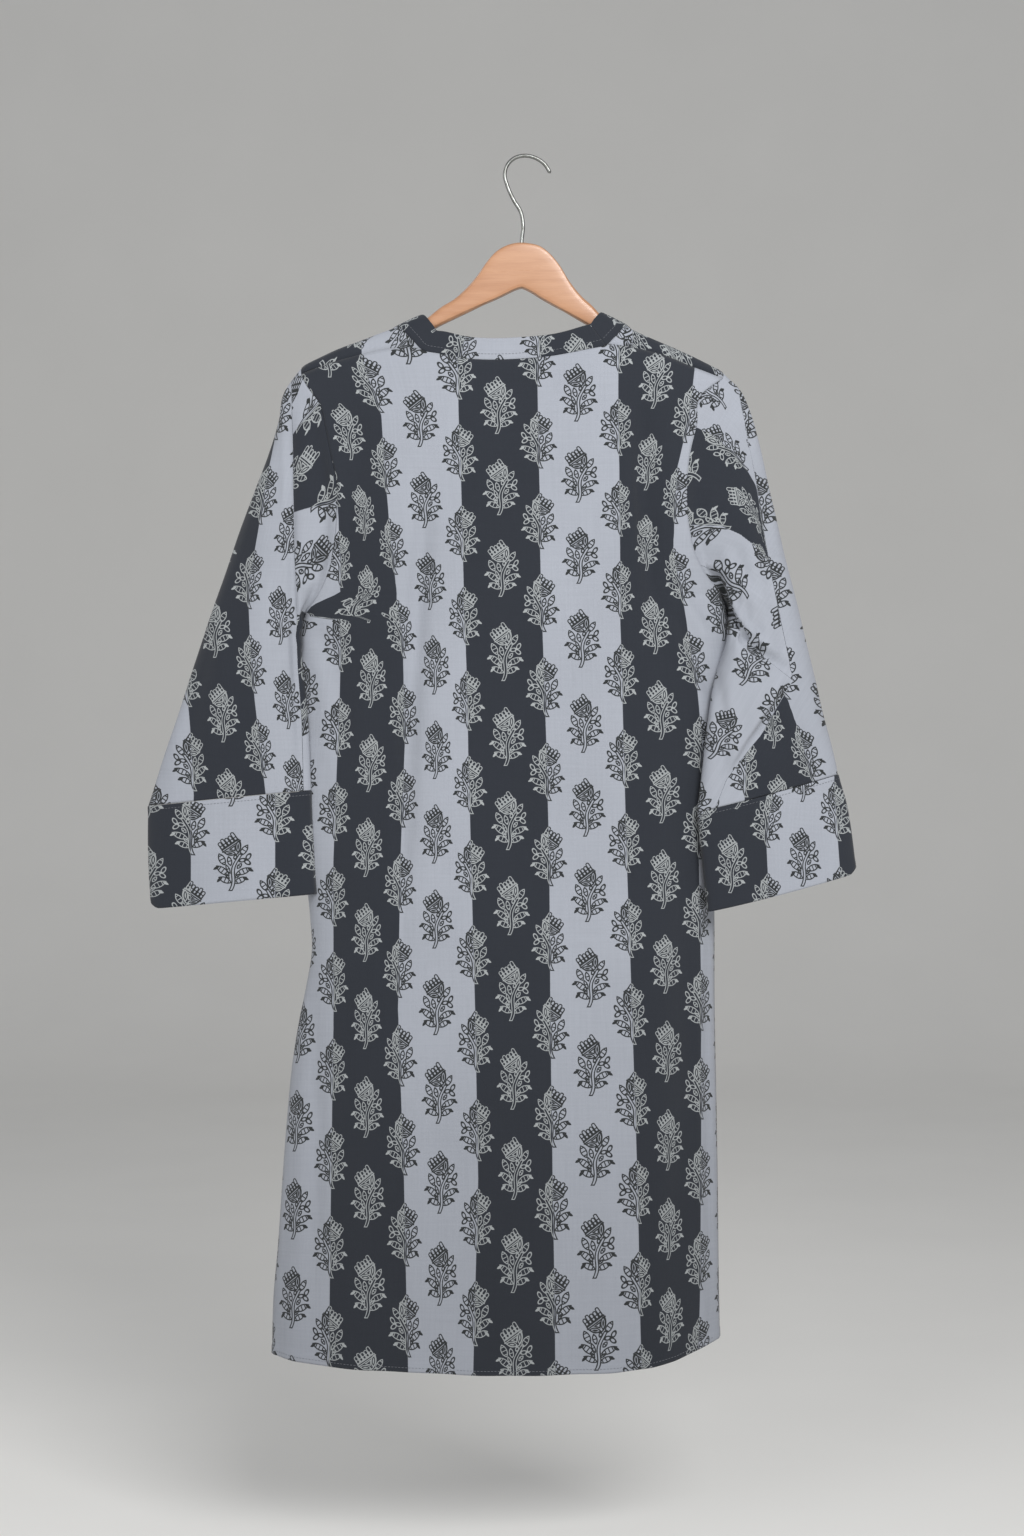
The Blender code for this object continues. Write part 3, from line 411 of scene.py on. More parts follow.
LEFT_CUFF_STRIPE = 82.0
LEFT_CUFF_ROW = -682.0
# Edges of the right cuff's stripe: up, across
RIGHT_CUFF_FIRST = [(-693, 239), (-654, 237), (-624, 243)]
RIGHT_CUFF_LAST = [(-693, 309), (-603, 303)]
RIGHT_CUFF_ROW = -678.0
RIGHT_CUFF_MIDDLE = 276.0
RIGHT_CUFF_SLANT = -0.00113     # rise of the rows across the cuff

# Stitches: length, from one to the next, half thickness, sides
STITCH = 2.5
STITCH_PITCH = 3.3
STITCH_THICK = 0.2
STITCH_SIDES = 5
# A stitch along its length: share, rise over the cloth
STITCH_SHAPE = [(0.0, -0.25), (0.18, 0.1), (0.5, 0.2), (0.82, 0.1), (1.0, -0.25)]
THREAD_WAVE = 0.0009        # metres from one raised thread to the next of the weave

# Lights: name, place, target, size, power
LIGHTS = [
    ("key", (0.9, -2.3, 0.9), (0.0, 0.0, -0.5), (1.6, 1.2), 62.0),
    ("fill", (-1.6, -2.2, 0.2), (0.0, 0.0, -0.5), (1.4, 1.8), 16.0),
    ("back_left", (-1.4, 0.9, 0.4), (0.0, 0.0, -0.5), (0.8, 1.4), 6.0),
]
SKY = (0.86, 0.87, 0.89, 1.0)
SKY_POWER = 0.43

# Floor and backdrop, in metres
FLOOR_Z = -1.36
FLOOR_FRONT = -8.0
WALL_START = 3.6       # where the floor starts to bend up into the wall
WALL_BEND = 1.6        # radius of that bend
WALL_TOP = 6.0
FLOOR_SIDE = 9.0


def curve(rows, at, column=1):
    """Smooth curve through a table, held level past its ends."""
    table = np.array(rows, float)
    x = table[:, 0]
    y = table[:, column]
    if x[0] > x[-1]:
        x = x[::-1]
        y = y[::-1]
    slope = np.gradient(y, x)
    at = np.clip(at, x[0], x[-1])
    i = np.clip(np.searchsorted(x, at) - 1, 0, len(x) - 2)
    h = x[i + 1] - x[i]
    t = (at - x[i]) / h
    start = (2 * t**3 - 3 * t**2 + 1) * y[i] + (t**3 - 2 * t**2 + t) * h * slope[i]
    end = (3 * t**2 - 2 * t**3) * y[i + 1] + (t**3 - t**2) * h * slope[i + 1]
    return start + end


def mix(a, b, t):
    return a + (b - a) * t


def ease(t):
    """From 0 to 1 with soft ends."""
    t = np.clip(t, 0, 1)
    return t * t * (3 - 2 * t)


def spread_columns(count):
    """Shares of the width, closer together near the edges."""
    j = np.arange(count + 1) / count
    return 0.5 * j + 0.25 * (1 - np.cos(pi * j))


def down_from_arc(arc):
    """Drop below the ridge of a point at a length of cloth from it."""
    a = np.abs(arc)
    return np.where(a < ROLL * pi / 2, ROLL * (1 - np.cos(a / ROLL)), ROLL + a - ROLL * pi / 2)


def arc_from_down(down):
    d = np.clip(down, 0, None)
    turn = ROLL * np.arccos(np.clip(1 - d / ROLL, -1, 1))
    return np.where(d < ROLL, turn, ROLL * pi / 2 + d - ROLL)


def fold_depth(folds, x, z):
    """Depth of the soft troughs that run between two points each."""
    total = np.zeros(np.broadcast(x, z).shape)
    for x0, z0, x1, z1, half, depth in folds:
        run = np.array([x1 - x0, z1 - z0])
        length = np.hypot(*run)
        run = run / length
        along = ((x - x0) * run[0] + (z - z0) * run[1]) / length
        across = (x - x0) * run[1] - (z - z0) * run[0]
        fade = np.sin(pi * np.clip(along, 0, 1)) ** 0.7
        total = total + depth * fade * np.exp(-((across / half) ** 2))
    return total


def body_field(x, z, front):
    """Middle and squared half depth of the body at points across and up."""
    left = curve(LEFT_EDGE, z)
    right = curve(RIGHT_EDGE, z)
    s = (x - left) / (right - left)
    inside = np.clip(s, 0, 1)
    down_left = np.clip((LEFT_TIP - z) / (LEFT_TIP - LEFT_UNDERARM), 0, 1)
    down_right = np.clip((RIGHT_TIP - z) / (RIGHT_TIP - RIGHT_UNDERARM), 0, 1)
    opened = mix(1 - down_left**3, 1 - down_right**3, inside)
    across = opened + (1 - opened) * 4 * s * (1 - s)
    down = curve(RIDGE, x) - z
    over = 1 - np.clip(1 - down / ROLL, 0, None) ** 2
    fill = 1 - np.exp(-np.clip(down - ROLL, 0, None) / FILL)
    bulge = curve(DEPTH, z, 4 if front else 3)
    half = ROLL + (bulge - ROLL) * fill
    middle = mix(curve(DEPTH, z, 1), curve(DEPTH, z, 2), s)
    if not front:
        middle = middle + fold_depth(BACK_FOLDS, x, z) * np.clip(across, 0, 1)
    return middle, half**2 * over * across


def body_points(x, z, front):
    """Points of the outer face and the directions into the wall."""
    front = np.broadcast_to(front, x.shape)
    y = np.zeros(x.shape)
    inward = np.zeros(x.shape + (3,))
    e = 0.02
    for side in (False, True):
        here = front == side
        if not here.any():
            continue
        px = x[here]
        pz = z[here]
        middle, square = body_field(px, pz, side)
        sign = 1 if side else -1
        py = middle + sign * np.sqrt(np.clip(square, 0, None))
        y[here] = py
        grad = np.zeros(px.shape + (3,))
        for axis, (dx, dz) in ((0, (e, 0)), (2, (0, e))):
            m1, q1 = body_field(px + dx, pz + dz, side)
            m0, q0 = body_field(px - dx, pz - dz, side)
            grad[..., axis] = ((py - m1) ** 2 - q1 - (py - m0) ** 2 + q0) / (2 * e)
        grad[..., 1] = 2 * (py - middle)
        inward[here] = -grad
    inward /= np.linalg.norm(inward, axis=-1, keepdims=True)
    return np.stack([x, y, z], -1), inward


def panel_rows(top_x, top_z, corners, from_seam):
    """Rows of points across and up, from the top row to the underarm and the hem.

    The columns outside the two corners of the neck follow the armholes.
    """
    top_left = curve(LEFT_EDGE, top_z)
    top_right = curve(RIGHT_EDGE, top_z)
    near_left = np.clip((corners[0] - top_x) / (corners[0] - top_x[0]), 0, 1)
    near_right = np.clip((top_x - corners[1]) / (top_x[-1] - corners[1]), 0, 1)
    even = spread_columns(len(top_x) - 1)
    share = (top_x - top_x[0]) / (top_x[-1] - top_x[0])
    kept = 0.5 * share + 0.25 * (1 - np.cos(pi * share))
    underarm = mix(LEFT_UNDERARM, RIGHT_UNDERARM, kept)
    steps = (1 - np.cos(np.radians(ARMHOLE_ANGLES))) / 2
    if from_seam:
        steps = (steps[SEAM_ROW:] - steps[SEAM_ROW]) / (1 - steps[SEAM_ROW])
    last = len(steps) - 1
    rows_x = []
    rows_z = []
    for i in range(len(steps) + SIDE_ROWS):
        z = mix(top_z, underarm, steps[i]) if i <= last else None
        if z is None:
            z = mix(underarm, HEM_Z, (i - last) / SIDE_ROWS)
        left = curve(LEFT_EDGE, z)
        right = curve(RIGHT_EDGE, z)
        upper = top_x + near_left * (left - top_left) + near_right * (right - top_right)
        upper[0] = left[0]
        upper[-1] = right[-1]
        rows_x.append(mix(upper, mix(left, right, even), ease((EVEN_TOP - z) / EVEN_RUN)))
        rows_z.append(z)
    return np.array(rows_x), np.array(rows_z)


def front_neck_edge():
    """Front neck edge from one shoulder seam to the other: across, arc from the ridge."""
    ends = []
    for seam, ridge_x, bow in (
        (LEFT_SEAM[-1], LEFT_RIDGE_NECK, -5.0), (RIGHT_SEAM[0], RIGHT_RIDGE_NECK, 5.0),
    ):
        start = -float(arc_from_down(curve(RIDGE, seam[0]) - seam[1]))
        ends.append([
            (mix(seam[0], ridge_x, t) + bow * t * (1 - t), mix(start, 0.0, t))
            for t in TURN_COLUMNS
        ])
    middle = (LEFT_RIDGE_NECK + RIGHT_RIDGE_NECK) / 2
    half = (RIGHT_RIDGE_NECK - LEFT_RIDGE_NECK) / 2
    front = []
    for angle in NECK_ANGLES + [pi / 2] + [pi - a for a in NECK_ANGLES[::-1]]:
        x = middle - half * np.cos(angle)
        side = LEFT_RIDGE_NECK if angle < pi / 2 else RIGHT_RIDGE_NECK
        down = float(curve(RIDGE, side)) - FRONT_NECK_Z
        front.append((x, float(arc_from_down(down * np.sin(angle) ** 0.85))))
    return np.array(ends[0] + front + ends[1][::-1])


def away_from_neck(loop):
    """Directions out of the neck opening, square to its edge, turning smoothly."""
    reach = np.concatenate([[0], np.cumsum(np.linalg.norm(np.diff(loop, axis=0), axis=1))])
    ends = [
        np.stack([np.interp(reach + side * TURN_SPAN, reach, loop[:, k]) for k in (0, 1)], -1)
        for side in (-1, 1)
    ]
    tangent = ends[1] - ends[0]
    tangent /= np.linalg.norm(tangent, axis=1, keepdims=True)
    away = np.stack([tangent[:, 1], -tangent[:, 0]], -1)
    return away if (away * (loop - NECK_CENTRE)).sum() > 0 else -away


def shoulder_columns(seam):
    x = np.linspace(seam[0][0], seam[-1][0], SHOULDER_COLUMNS + 1)
    return x, -arc_from_down(curve(RIDGE, x) - curve(seam, x))


def armhole_ring(back, front, column):
    """Points round an armhole: ridge, down the back edge, underarm, up the front edge."""
    turns = len(TURN_ROWS)
    depth = len(ARMHOLE_ANGLES) - 1
    ring = [front[turns, column], front[2, column], front[1, column]]
    ring += [back[i, column] for i in range(depth - SEAM_ROW + 1)]
    low = len(ring) - 1
    ring += [front[turns + depth - i, column] for i in range(1, depth)]
    ring = np.array(ring)
    ring[low, 1] = (back[depth - SEAM_ROW, column, 1] + front[turns + depth, column, 1]) / 2
    return ring, low


def ring_shares(ring, low):
    """Share of the way from outer to inner edge of each point, and its side."""
    shares = (ring[0, 2] - ring[:, 2]) / (ring[0, 2] - ring[low, 2])
    shares = np.clip(shares, 0, 1)
    side = 2 * np.sqrt(shares * (1 - shares))
    side[:low] *= -1
    return shares, side


def flat_ring(row, shares, side):
    """A flattened ring between an outer and an inner edge."""
    ox, oz, ix, iz, inner_y, half = row
    outer = np.array([ox, 0.0, oz])
    inner = np.array([ix, inner_y, iz])
    ring = np.array([mix(outer, inner, s) for s in shares])
    ring[:, 1] += side * half
    return ring


def seen(points):
    """Where the camera sees points, in the plane of the hook: across, up."""
    scale = 1 / (1 - points[..., 1] / CAMERA[1])
    across = CAMERA[0] + (points[..., 0] - CAMERA[0]) * scale
    up = CAMERA[2] + (points[..., 2] - CAMERA[2]) * scale
    return across, up


def column(rows, at, k):
    """A table's column at given values of its first column."""
    table = np.array(rows, float)
    order = np.argsort(table[:, 0])
    return np.interp(at, table[order, 0], table[order, k])


def stations(lengths, step=GRID):
    """Places along a row of intervals, each cut to about the step."""
    at = [0.0]
    for i, length in enumerate(lengths):
        count = max(1, int(round(length / step)))
        at += [i + (k + 1) / count for k in range(count)]
    return np.array(at)


def sample(grid, at, axis, smooth=False, closed=False):
    """A grid read between its points, along straight lines or a smooth curve."""
    grid = np.moveaxis(grid, axis, 0)
    count = len(grid)
    last = count if closed else count - 1
    i = np.clip(np.floor(at).astype(int), 0, last - 1)
    t = (at - i).reshape((-1,) + (1,) * (grid.ndim - 1))

    def at_index(k):
        return grid[k % count] if closed else grid[np.clip(k, 0, count - 1)]

    a, b, c, d = (at_index(i + k) for k in (-1, 0, 1, 2))
    if smooth:
        out = b + 0.5 * t * (c - a + t * (2 * a - 5 * b + 4 * c - d + t * (3 * (b - c) + d - a)))
    else:
        out = b + (c - b) * t
    return np.moveaxis(out, 0, axis)


def crease_relief(rows, across, up):
    """Height of the creases: a soft trough along a bent line, with a ridge beside it."""
    total = np.zeros(across.shape)
    for x0, z0, x1, z1, x2, z2, half, depth, ridge in rows:
        near = np.full(across.shape, 1e9)
        best = np.zeros(across.shape)
        side = np.zeros(across.shape)
        t = np.linspace(0, 1, 15)
        px = (1 - t) ** 2 * x0 + 2 * t * (1 - t) * (2 * x1 - (x0 + x2) / 2) + t * t * x2
        pz = (1 - t) ** 2 * z0 + 2 * t * (1 - t) * (2 * z1 - (z0 + z2) / 2) + t * t * z2
        for k in range(len(t) - 1):
            dx = px[k + 1] - px[k]
            dz = pz[k + 1] - pz[k]
            size = dx * dx + dz * dz
            s = np.clip(((across - px[k]) * dx + (up - pz[k]) * dz) / size, 0, 1)
            ox = across - px[k] - s * dx
            oz = up - pz[k] - s * dz
            far = np.hypot(ox, oz)
            closer = far < near
            near = np.where(closer, far, near)
            best = np.where(closer, (k + s) / (len(t) - 1), best)
            side = np.where(closer, np.sign(ox * dz - oz * dx), side)
        fade = np.sin(pi * np.clip(best, 0.0, 1.0)) ** 0.6
        fade = np.where((best <= 0) | (best >= 1), 0.0, fade)
        signed = near * side
        total -= depth * fade * np.exp(-((signed / half) ** 2))
        total += ridge * fade * np.exp(-(((signed - 1.5 * half) / half) ** 2))
    return total


def waves(points, seed, size):
    """Slight unevenness of hanging cloth, made of a few long waves."""
    rng = np.random.default_rng(seed)
    total = np.zeros(points.shape[:-1])
    for _ in range(14):
        kx = rng.uniform(0.012, 0.05) * rng.choice([-1, 1])
        kz = rng.uniform(-0.012, 0.012)
        phase = rng.uniform(0, 2 * pi)
        total += np.sin(points[..., 0] * kx + points[..., 2] * kz + phase) * rng.uniform(0.4, 1)
    for _ in range(10):
        kx = rng.uniform(-0.08, 0.08)
        kz = rng.uniform(-0.08, 0.08)
        phase = rng.uniform(0, 2 * pi)
        total += 0.3 * np.sin(points[..., 0] * kx + points[..., 2] * kz + phase)
    return total * size / 4


def normals(points, closed=False):
    """Directions square to a grid of points."""
    down = np.gradient(points, axis=0)
    if closed:
        round_it = np.roll(points, -1, axis=1) - np.roll(points, 1, axis=1)
    else:
        round_it = np.gradient(points, axis=1)
    n = np.cross(down, round_it)
    n /= np.maximum(np.linalg.norm(n, axis=-1, keepdims=True), 1e-9)
    return n


def arc_lengths(points):
    """Length of cloth along each row of points."""
    step = np.linalg.norm(np.diff(points, axis=1), axis=-1)
    return np.concatenate([np.zeros((len(points), 1)), np.cumsum(step, axis=1)], axis=1)


def flower_phase(up):
    """Count of rows of flowers down to a height, past the table's ends too."""
    rows = np.array(FLOWER_ROWS, float)
    count = np.arange(len(rows))
    inside = np.interp(-up, -rows, count)
    above = (rows[0] - up) / PITCH
    below = (rows[-1] - up) / PITCH
    inside = np.where(up > rows[0], above, inside)
    return np.where(up < rows[-1], count[-1] + below, inside)


def panel_print(points, stripes):
    """Print coordinates of a panel: stripes across, rows of flowers down."""
    across, up = seen(points)
    arc = arc_lengths(points)
    edges = [column(stripes, up, k) for k in range(1, 7)]
    u = np.zeros(across.shape)
    for k in range(5):
        inside = (across >= edges[k]) & (across < edges[k + 1])
        share = (across - edges[k]) / (edges[k + 1] - edges[k])
        u = np.where(inside, k + share, u)
    for i in range(len(points)):
        row = np.maximum.accumulate(across[i])
        first = np.interp(0.0, row - edges[0][i], arc[i])
        last = np.interp(0.0, row - edges[5][i], arc[i])
        left = across[i] < edges[0][i]
        right = across[i] >= edges[5][i]
        u[i] = np.where(left, (arc[i] - first) / STRIPE, u[i])
        u[i] = np.where(right, 5 + (arc[i] - last) / STRIPE, u[i])
    return u, flower_phase(up)


def surface(name, points, outward, u, v, closed=False, hidden=None, zones=()):
    """A piece of cloth on a grid, with its print coordinates in metres.

    hidden is the first column of the hidden side, and that side's own coordinates.
    zones holds up to two more pairs of coordinates, each with a number that is more
    than 0 where the pair counts.
    """
    rows, columns = points.shape[:2]
    index = np.arange(rows * columns).reshape(rows, columns)
    wrap = columns if closed else columns - 1
    j = np.arange(wrap)
    k = (j + 1) % columns
    corners = [index[:-1][:, j], index[:-1][:, k], index[1:][:, k], index[1:][:, j]]
    flat = points.reshape(-1, 3)
    a, b, _, d = (flat[c] for c in corners)
    facing = (np.cross(b - a, d - a) * outward.reshape(-1, 3)[corners[0]]).sum()
    if facing < 0:
        corners = corners[::-1]
    quads = np.stack(corners, -1).reshape(-1, 4)
    mesh = bpy.data.meshes.new(name)
    mesh.from_pydata((flat * MM).tolist(), [], quads.tolist())
    back = np.zeros(len(quads), bool)
    if hidden is not None:
        back = np.broadcast_to(j >= hidden[0], (rows - 1, wrap)).reshape(-1)

    def write(layer_name, first, second, factors=(1.0, 1.0)):
        layer = mesh.uv_layers.new(name=layer_name)
        coords = np.stack([first.reshape(-1)[quads], second.reshape(-1)[quads]], -1)
        if layer_name == "print" and hidden is not None:
            other = np.stack([hidden[1].reshape(-1)[quads], hidden[2].reshape(-1)[quads]], -1)
            # Past the last column the hidden side meets the first one again
            coords[back] = other[back]
        if layer_name == "zones":
            coords[back] = -1.0
        coords = coords * np.array(factors)
        layer.data.foreach_set("uv", coords.reshape(-1).astype(np.float32))

    size = (STRIPE * MM, PITCH * MM)
    write("print", u, v, size)
    masks = [np.full(u.shape, -1.0), np.full(u.shape, -1.0)]
    for number, (zone_u, zone_v, mask) in enumerate(zones):
        write(("print_b", "print_c")[number], zone_u, zone_v, size)
        masks[number] = mask
    write("zones", *masks)
    ob = new_object(name, mesh)
    solid = ob.modifiers.new("thickness", "SOLIDIFY")
    solid.thickness = CLOTH * MM
    solid.offset = -1.0
    solid.material_offset = 1
    solid.material_offset_rim = 0
    return ob


class Value:
    """A node's output that can be used in sums."""

    tree = None

    def __init__(self, socket):
        self.socket = socket

    @classmethod
    def math(cls, operation, *inputs):
        node = cls.tree.nodes.new("ShaderNodeMath")
        node.operation = operation
        for place, item in zip(node.inputs, inputs):
            if isinstance(item, Value):
                cls.tree.links.new(item.socket, place)
            else:
                place.default_value = item
        return cls(node.outputs[0])

    def __add__(self, other):
        return self.math("ADD", self, other)

    def __sub__(self, other):
        return self.math("SUBTRACT", self, other)

    def __rsub__(self, other):
        return self.math("SUBTRACT", other, self)

    def __mul__(self, other):
        return self.math("MULTIPLY", self, other)

    def abs(self):
        return self.math("ABSOLUTE", self)

    def least(self, other):
        return self.math("MINIMUM", self, other)

    def most(self, other):
        return self.math("MAXIMUM", self, other)

    def steps(self, low, high, start=0.0, end=1.0, soft=True):
        """The value read between two limits, from start to end."""
        node = self.tree.nodes.new("ShaderNodeMapRange")
        node.interpolation_type = "SMOOTHSTEP" if soft else "LINEAR"
        self.tree.links.new(self.socket, node.inputs["Value"])
        node.inputs["From Min"].default_value = low
        node.inputs["From Max"].default_value = high
        node.inputs["To Min"].default_value = start
        node.inputs["To Max"].default_value = end
        return Value(node.outputs[0])


def placed(tree, vector, x, y, turn=0.0, wide=1.0, high=1.0):
    """Coordinates of a shape of the flower, from its own middle and turn."""
    node = tree.nodes.new("ShaderNodeMapping")
    node.vector_type = "TEXTURE"
    node.inputs["Location"].default_value = (x, y, 0.0)
    node.inputs["Rotation"].default_value = (0.0, 0.0, radians(turn))
    node.inputs["Scale"].default_value = (wide, high, 1.0)
    tree.links.new(vector, node.inputs["Vector"])
    return node.outputs[0]


def vector_math(tree, operation, a, b=None):
    node = tree.nodes.new("ShaderNodeVectorMath")
    node.operation = operation
    tree.links.new(a, node.inputs[0])
    if b is not None:
        node.inputs[1].default_value = b
    return node.outputs["Value" if operation == "LENGTH" else "Vector"]


def leaf(tree, vector, x, y, turn, half_length, half_width):
    """Distance to the edge of a pointed leaf, less than 0 inside."""
    local = placed(tree, vector, x, y, turn)
    reach = (half_length**2 + half_width**2) / (2 * half_width)
    folded = vector_math(tree, "ABSOLUTE", local)
    moved = vector_math(tree, "ADD", folded, (reach - half_width, 0.0, 0.0))
    return Value(vector_math(tree, "LENGTH", moved)) - reach, local


def petal(tree, vector, x, y, turn, half_length, half_width):
    """Distance to the edge of a round petal, less than 0 inside."""
    local = placed(tree, vector, x, y, turn, half_width, half_length)
    return (Value(vector_math(tree, "LENGTH", local)) - 1.0) * half_width


def halves(tree, vector):
    """The across and up of coordinates."""
    node = tree.nodes.new("ShaderNodeSeparateXYZ")
    tree.links.new(vector, node.inputs[0])
    return Value(node.outputs[0]), Value(node.outputs[1])


def flower_head(tree, at):
    """Distance to the lines of the head, and to the outside of the head."""
    head = placed(tree, at, *HEAD)
    hx, hy = halves(tree, head)
    number = Value.math("FLOOR", hx * (1 / FINGER) + 0.5).most(-2.0).least(2.0)
    beside = hx - number * FINGER
    beside = beside * beside
    top = Value.math("COSINE", number * 2.1 + 2.1) * 0.9 + 6.4
    above = (hy - top).most(0.0)
    tip = Value.math("SQRT", beside + above * above)
    block = (tip - 1.9).most(0.4 - hy)
    tall = above.most(4.9 - hy)
    hole = Value.math("SQRT", beside + tall * tall) - 0.85
    small = ((hy - 2.3).abs() - 0.2).most(0.0)
    hole = hole.least(Value.math("SQRT", beside + small * small) - 0.75)
    crown = block.most(0.0 - hole)
    cup, _ = leaf(tree, head, *CUP)
    cup = cup.most(hy - 0.2)
    left, _ = leaf(tree, head, *EYES[0])
    right, _ = leaf(tree, head, *EYES[1])
    eyes = left.least(right)
    core = (hy + 2.9).most((hx - 0.3).abs() * 0.8 - hy * 0.6 - 3.9)
    band = (hy + 1.5).abs()
    lines = cup.abs().least((eyes + 0.1).abs()).least(core.abs()).least(band)
    lines = lines.least((eyes + 1.75).abs()).most(cup - LINE)
    block = block.least(cup)
    return lines.least(crown + LINE), block


def flower(tree, at):
    """Distance to the lines of the flower."""
    x, y = halves(tree, at)
    lines = None
    for row in FLOWER_LEAVES:
        shape, local = leaf(tree, at, *row)
        _, along = halves(tree, local)
        bars = (Value.math("PINGPONG", along + 20.0 * BAR, BAR / 2) + 0.05).most(shape)
        drawn = shape.abs().least(bars)
        lines = drawn if lines is None else lines.least(drawn)
    for row in FLOWER_TIPS:
        lines = lines.least(leaf(tree, at, *row)[0])
    for row in FLOWER_PETALS:
        lines = lines.least(petal(tree, at, *row).abs())
    # The stem is a narrow tube on a bent line, over the leaves
    bend = y * 0.25 + 4.2 - Value.math("SINE", (y + 15.0) * 0.19) * 1.8
    middle, half_length, half_width = STEM
    stem = (x - bend).abs() * 0.95 - half_width
    stem = stem.most((y - middle).abs() - half_length)
    lines = lines.most(LINE + 0.05 - stem).least(stem.abs())
    head, block = flower_head(tree, at)
    return lines.most(LINE + 0.1 - block).least(head)


def print_group():
    """The print as a node group: a flower's lines, and which stripe is dark."""
    tree = bpy.data.node_groups.new("block_print", "ShaderNodeTree")
    tree.interface.new_socket(name="Print", in_out="INPUT", socket_type="NodeSocketVector")
    tree.interface.new_socket(name="Lines", in_out="OUTPUT", socket_type="NodeSocketFloat")
    tree.interface.new_socket(name="Dark", in_out="OUTPUT", socket_type="NodeSocketFloat")
    source = tree.nodes.new("NodeGroupInput")
    target = tree.nodes.new("NodeGroupOutput")
    Value.tree = tree
    split = tree.nodes.new("ShaderNodeSeparateXYZ")
    tree.links.new(source.outputs[0], split.inputs[0])
    u = Value(split.outputs[0]) * (1 / (STRIPE * MM))
    v = Value(split.outputs[1]) * (1 / (PITCH * MM))
    # Unevenness of the hand-printed edges
    ragged = (noise_value(tree, source.outputs[0], 420.0) - 0.5) * 0.3
    # Stripes
    wave = Value.math("PINGPONG", u * 1.0 - 0.5 + 40.0, 1.0)
    edge = (wave - 0.5) * STRIPE + ragged * 0.6
    dark = edge.steps(-0.35, 0.35, 1.0, 0.0)
    # Columns of flowers half a stripe apart, every other one turned over
    number = Value.math("FLOOR", u * 2.0 + 0.5)
    odd = Value.math("FLOORED_MODULO", number, 2.0)
    x = (u * 2.0 - number) * (STRIPE / 2)
    x = x * (odd * 2.0 - 1.0)
    row = v + (number * 0.5 - 2.5) * SKEW + (odd - 1.0) * 0.5
    y = (Value.math("FLOOR", row + 0.5) - row) * PITCH
    join = tree.nodes.new("ShaderNodeCombineXYZ")
    tree.links.new(x.socket, join.inputs[0])
    tree.links.new(y.socket, join.inputs[1])
    at = join.outputs[0]
    lines = flower(tree, at)
    lines = lines + ragged + dark * FINER
    lines = lines.steps(LINE - 0.2, LINE + 0.2, 1.0, 0.0)
    tree.links.new(lines.socket, target.inputs["Lines"])
    tree.links.new(dark.socket, target.inputs["Dark"])
    return tree


def new_object(name, mesh):
    mesh.shade_smooth()
    ob = bpy.data.objects.new(name, mesh)
    bpy.context.collection.objects.link(ob)
    return ob


def new_material(name):
    """A material, its node tree and its shader."""
    material = bpy.data.materials.new(name)
    material.use_nodes = True
    Value.tree = material.node_tree
    return material, material.node_tree, material.node_tree.nodes["Principled BSDF"]


def object_place(tree):
    return tree.nodes.new("ShaderNodeTexCoord").outputs["Object"]


def bumped(tree, height, strength, distance, normal=None):
    node = tree.nodes.new("ShaderNodeBump")
    node.inputs["Strength"].default_value = strength
    node.inputs["Distance"].default_value = distance
    tree.links.new(height.socket, node.inputs["Height"])
    if normal is not None:
        tree.links.new(normal, node.inputs["Normal"])
    return node.outputs[0]


def srgb(r, g, b):
    """Colour of a shader from a colour on a screen, 0 to 255."""
    out = []
    for c in (r, g, b):
        c /= 255
        out.append(c / 12.92 if c <= 0.04045 else ((c + 0.055) / 1.055) ** 2.4)
    return (*out, 1.0)


def blend_colour(tree, share, a, b):
    """Colours a to b by a share. Each is a value or a socket."""
    node = tree.nodes.new("ShaderNodeMix")
    node.data_type = "RGBA"
    if isinstance(share, float):
        node.inputs[0].default_value = share
    else:
        tree.links.new(share.socket if isinstance(share, Value) else share, node.inputs[0])
    for place, item in ((node.inputs[6], a), (node.inputs[7], b)):
        if isinstance(item, tuple):
            place.default_value = item
        else:
            tree.links.new(item, place)
    return node.outputs[2]


def noise_value(tree, vector, scale, detail=2.0, stretch=None):
    if stretch is not None:
        node = tree.nodes.new("ShaderNodeMapping")
        node.inputs["Scale"].default_value = stretch
        tree.links.new(vector, node.inputs["Vector"])
        vector = node.outputs[0]
    noise = tree.nodes.new("ShaderNodeTexNoise")
    noise.inputs["Scale"].default_value = scale
    noise.inputs["Detail"].default_value = detail
    tree.links.new(vector, noise.inputs["Vector"])
    return Value(noise.outputs[0])


def chosen_print(tree, place):
    """Print coordinates, with the other pairs where their masks count."""
    zones = tree.nodes.new("ShaderNodeUVMap")
    zones.uv_map = "zones"
    masks = tree.nodes.new("ShaderNodeSeparateXYZ")
    tree.links.new(zones.outputs[0], masks.inputs[0])
    for number, layer in ((0, "print_b"), (1, "print_c")):
        other = tree.nodes.new("ShaderNodeUVMap")
        other.uv_map = layer
        choose = tree.nodes.new("ShaderNodeMix")
        choose.data_type = "VECTOR"
        share = Value(masks.outputs[number]).steps(0.0, 0.5, 0.0, 1.0, False)
        tree.links.new(share.socket, choose.inputs[0])
        tree.links.new(place, choose.inputs[4])
        tree.links.new(other.outputs[0], choose.inputs[5])
        place = choose.outputs[1]
    return place


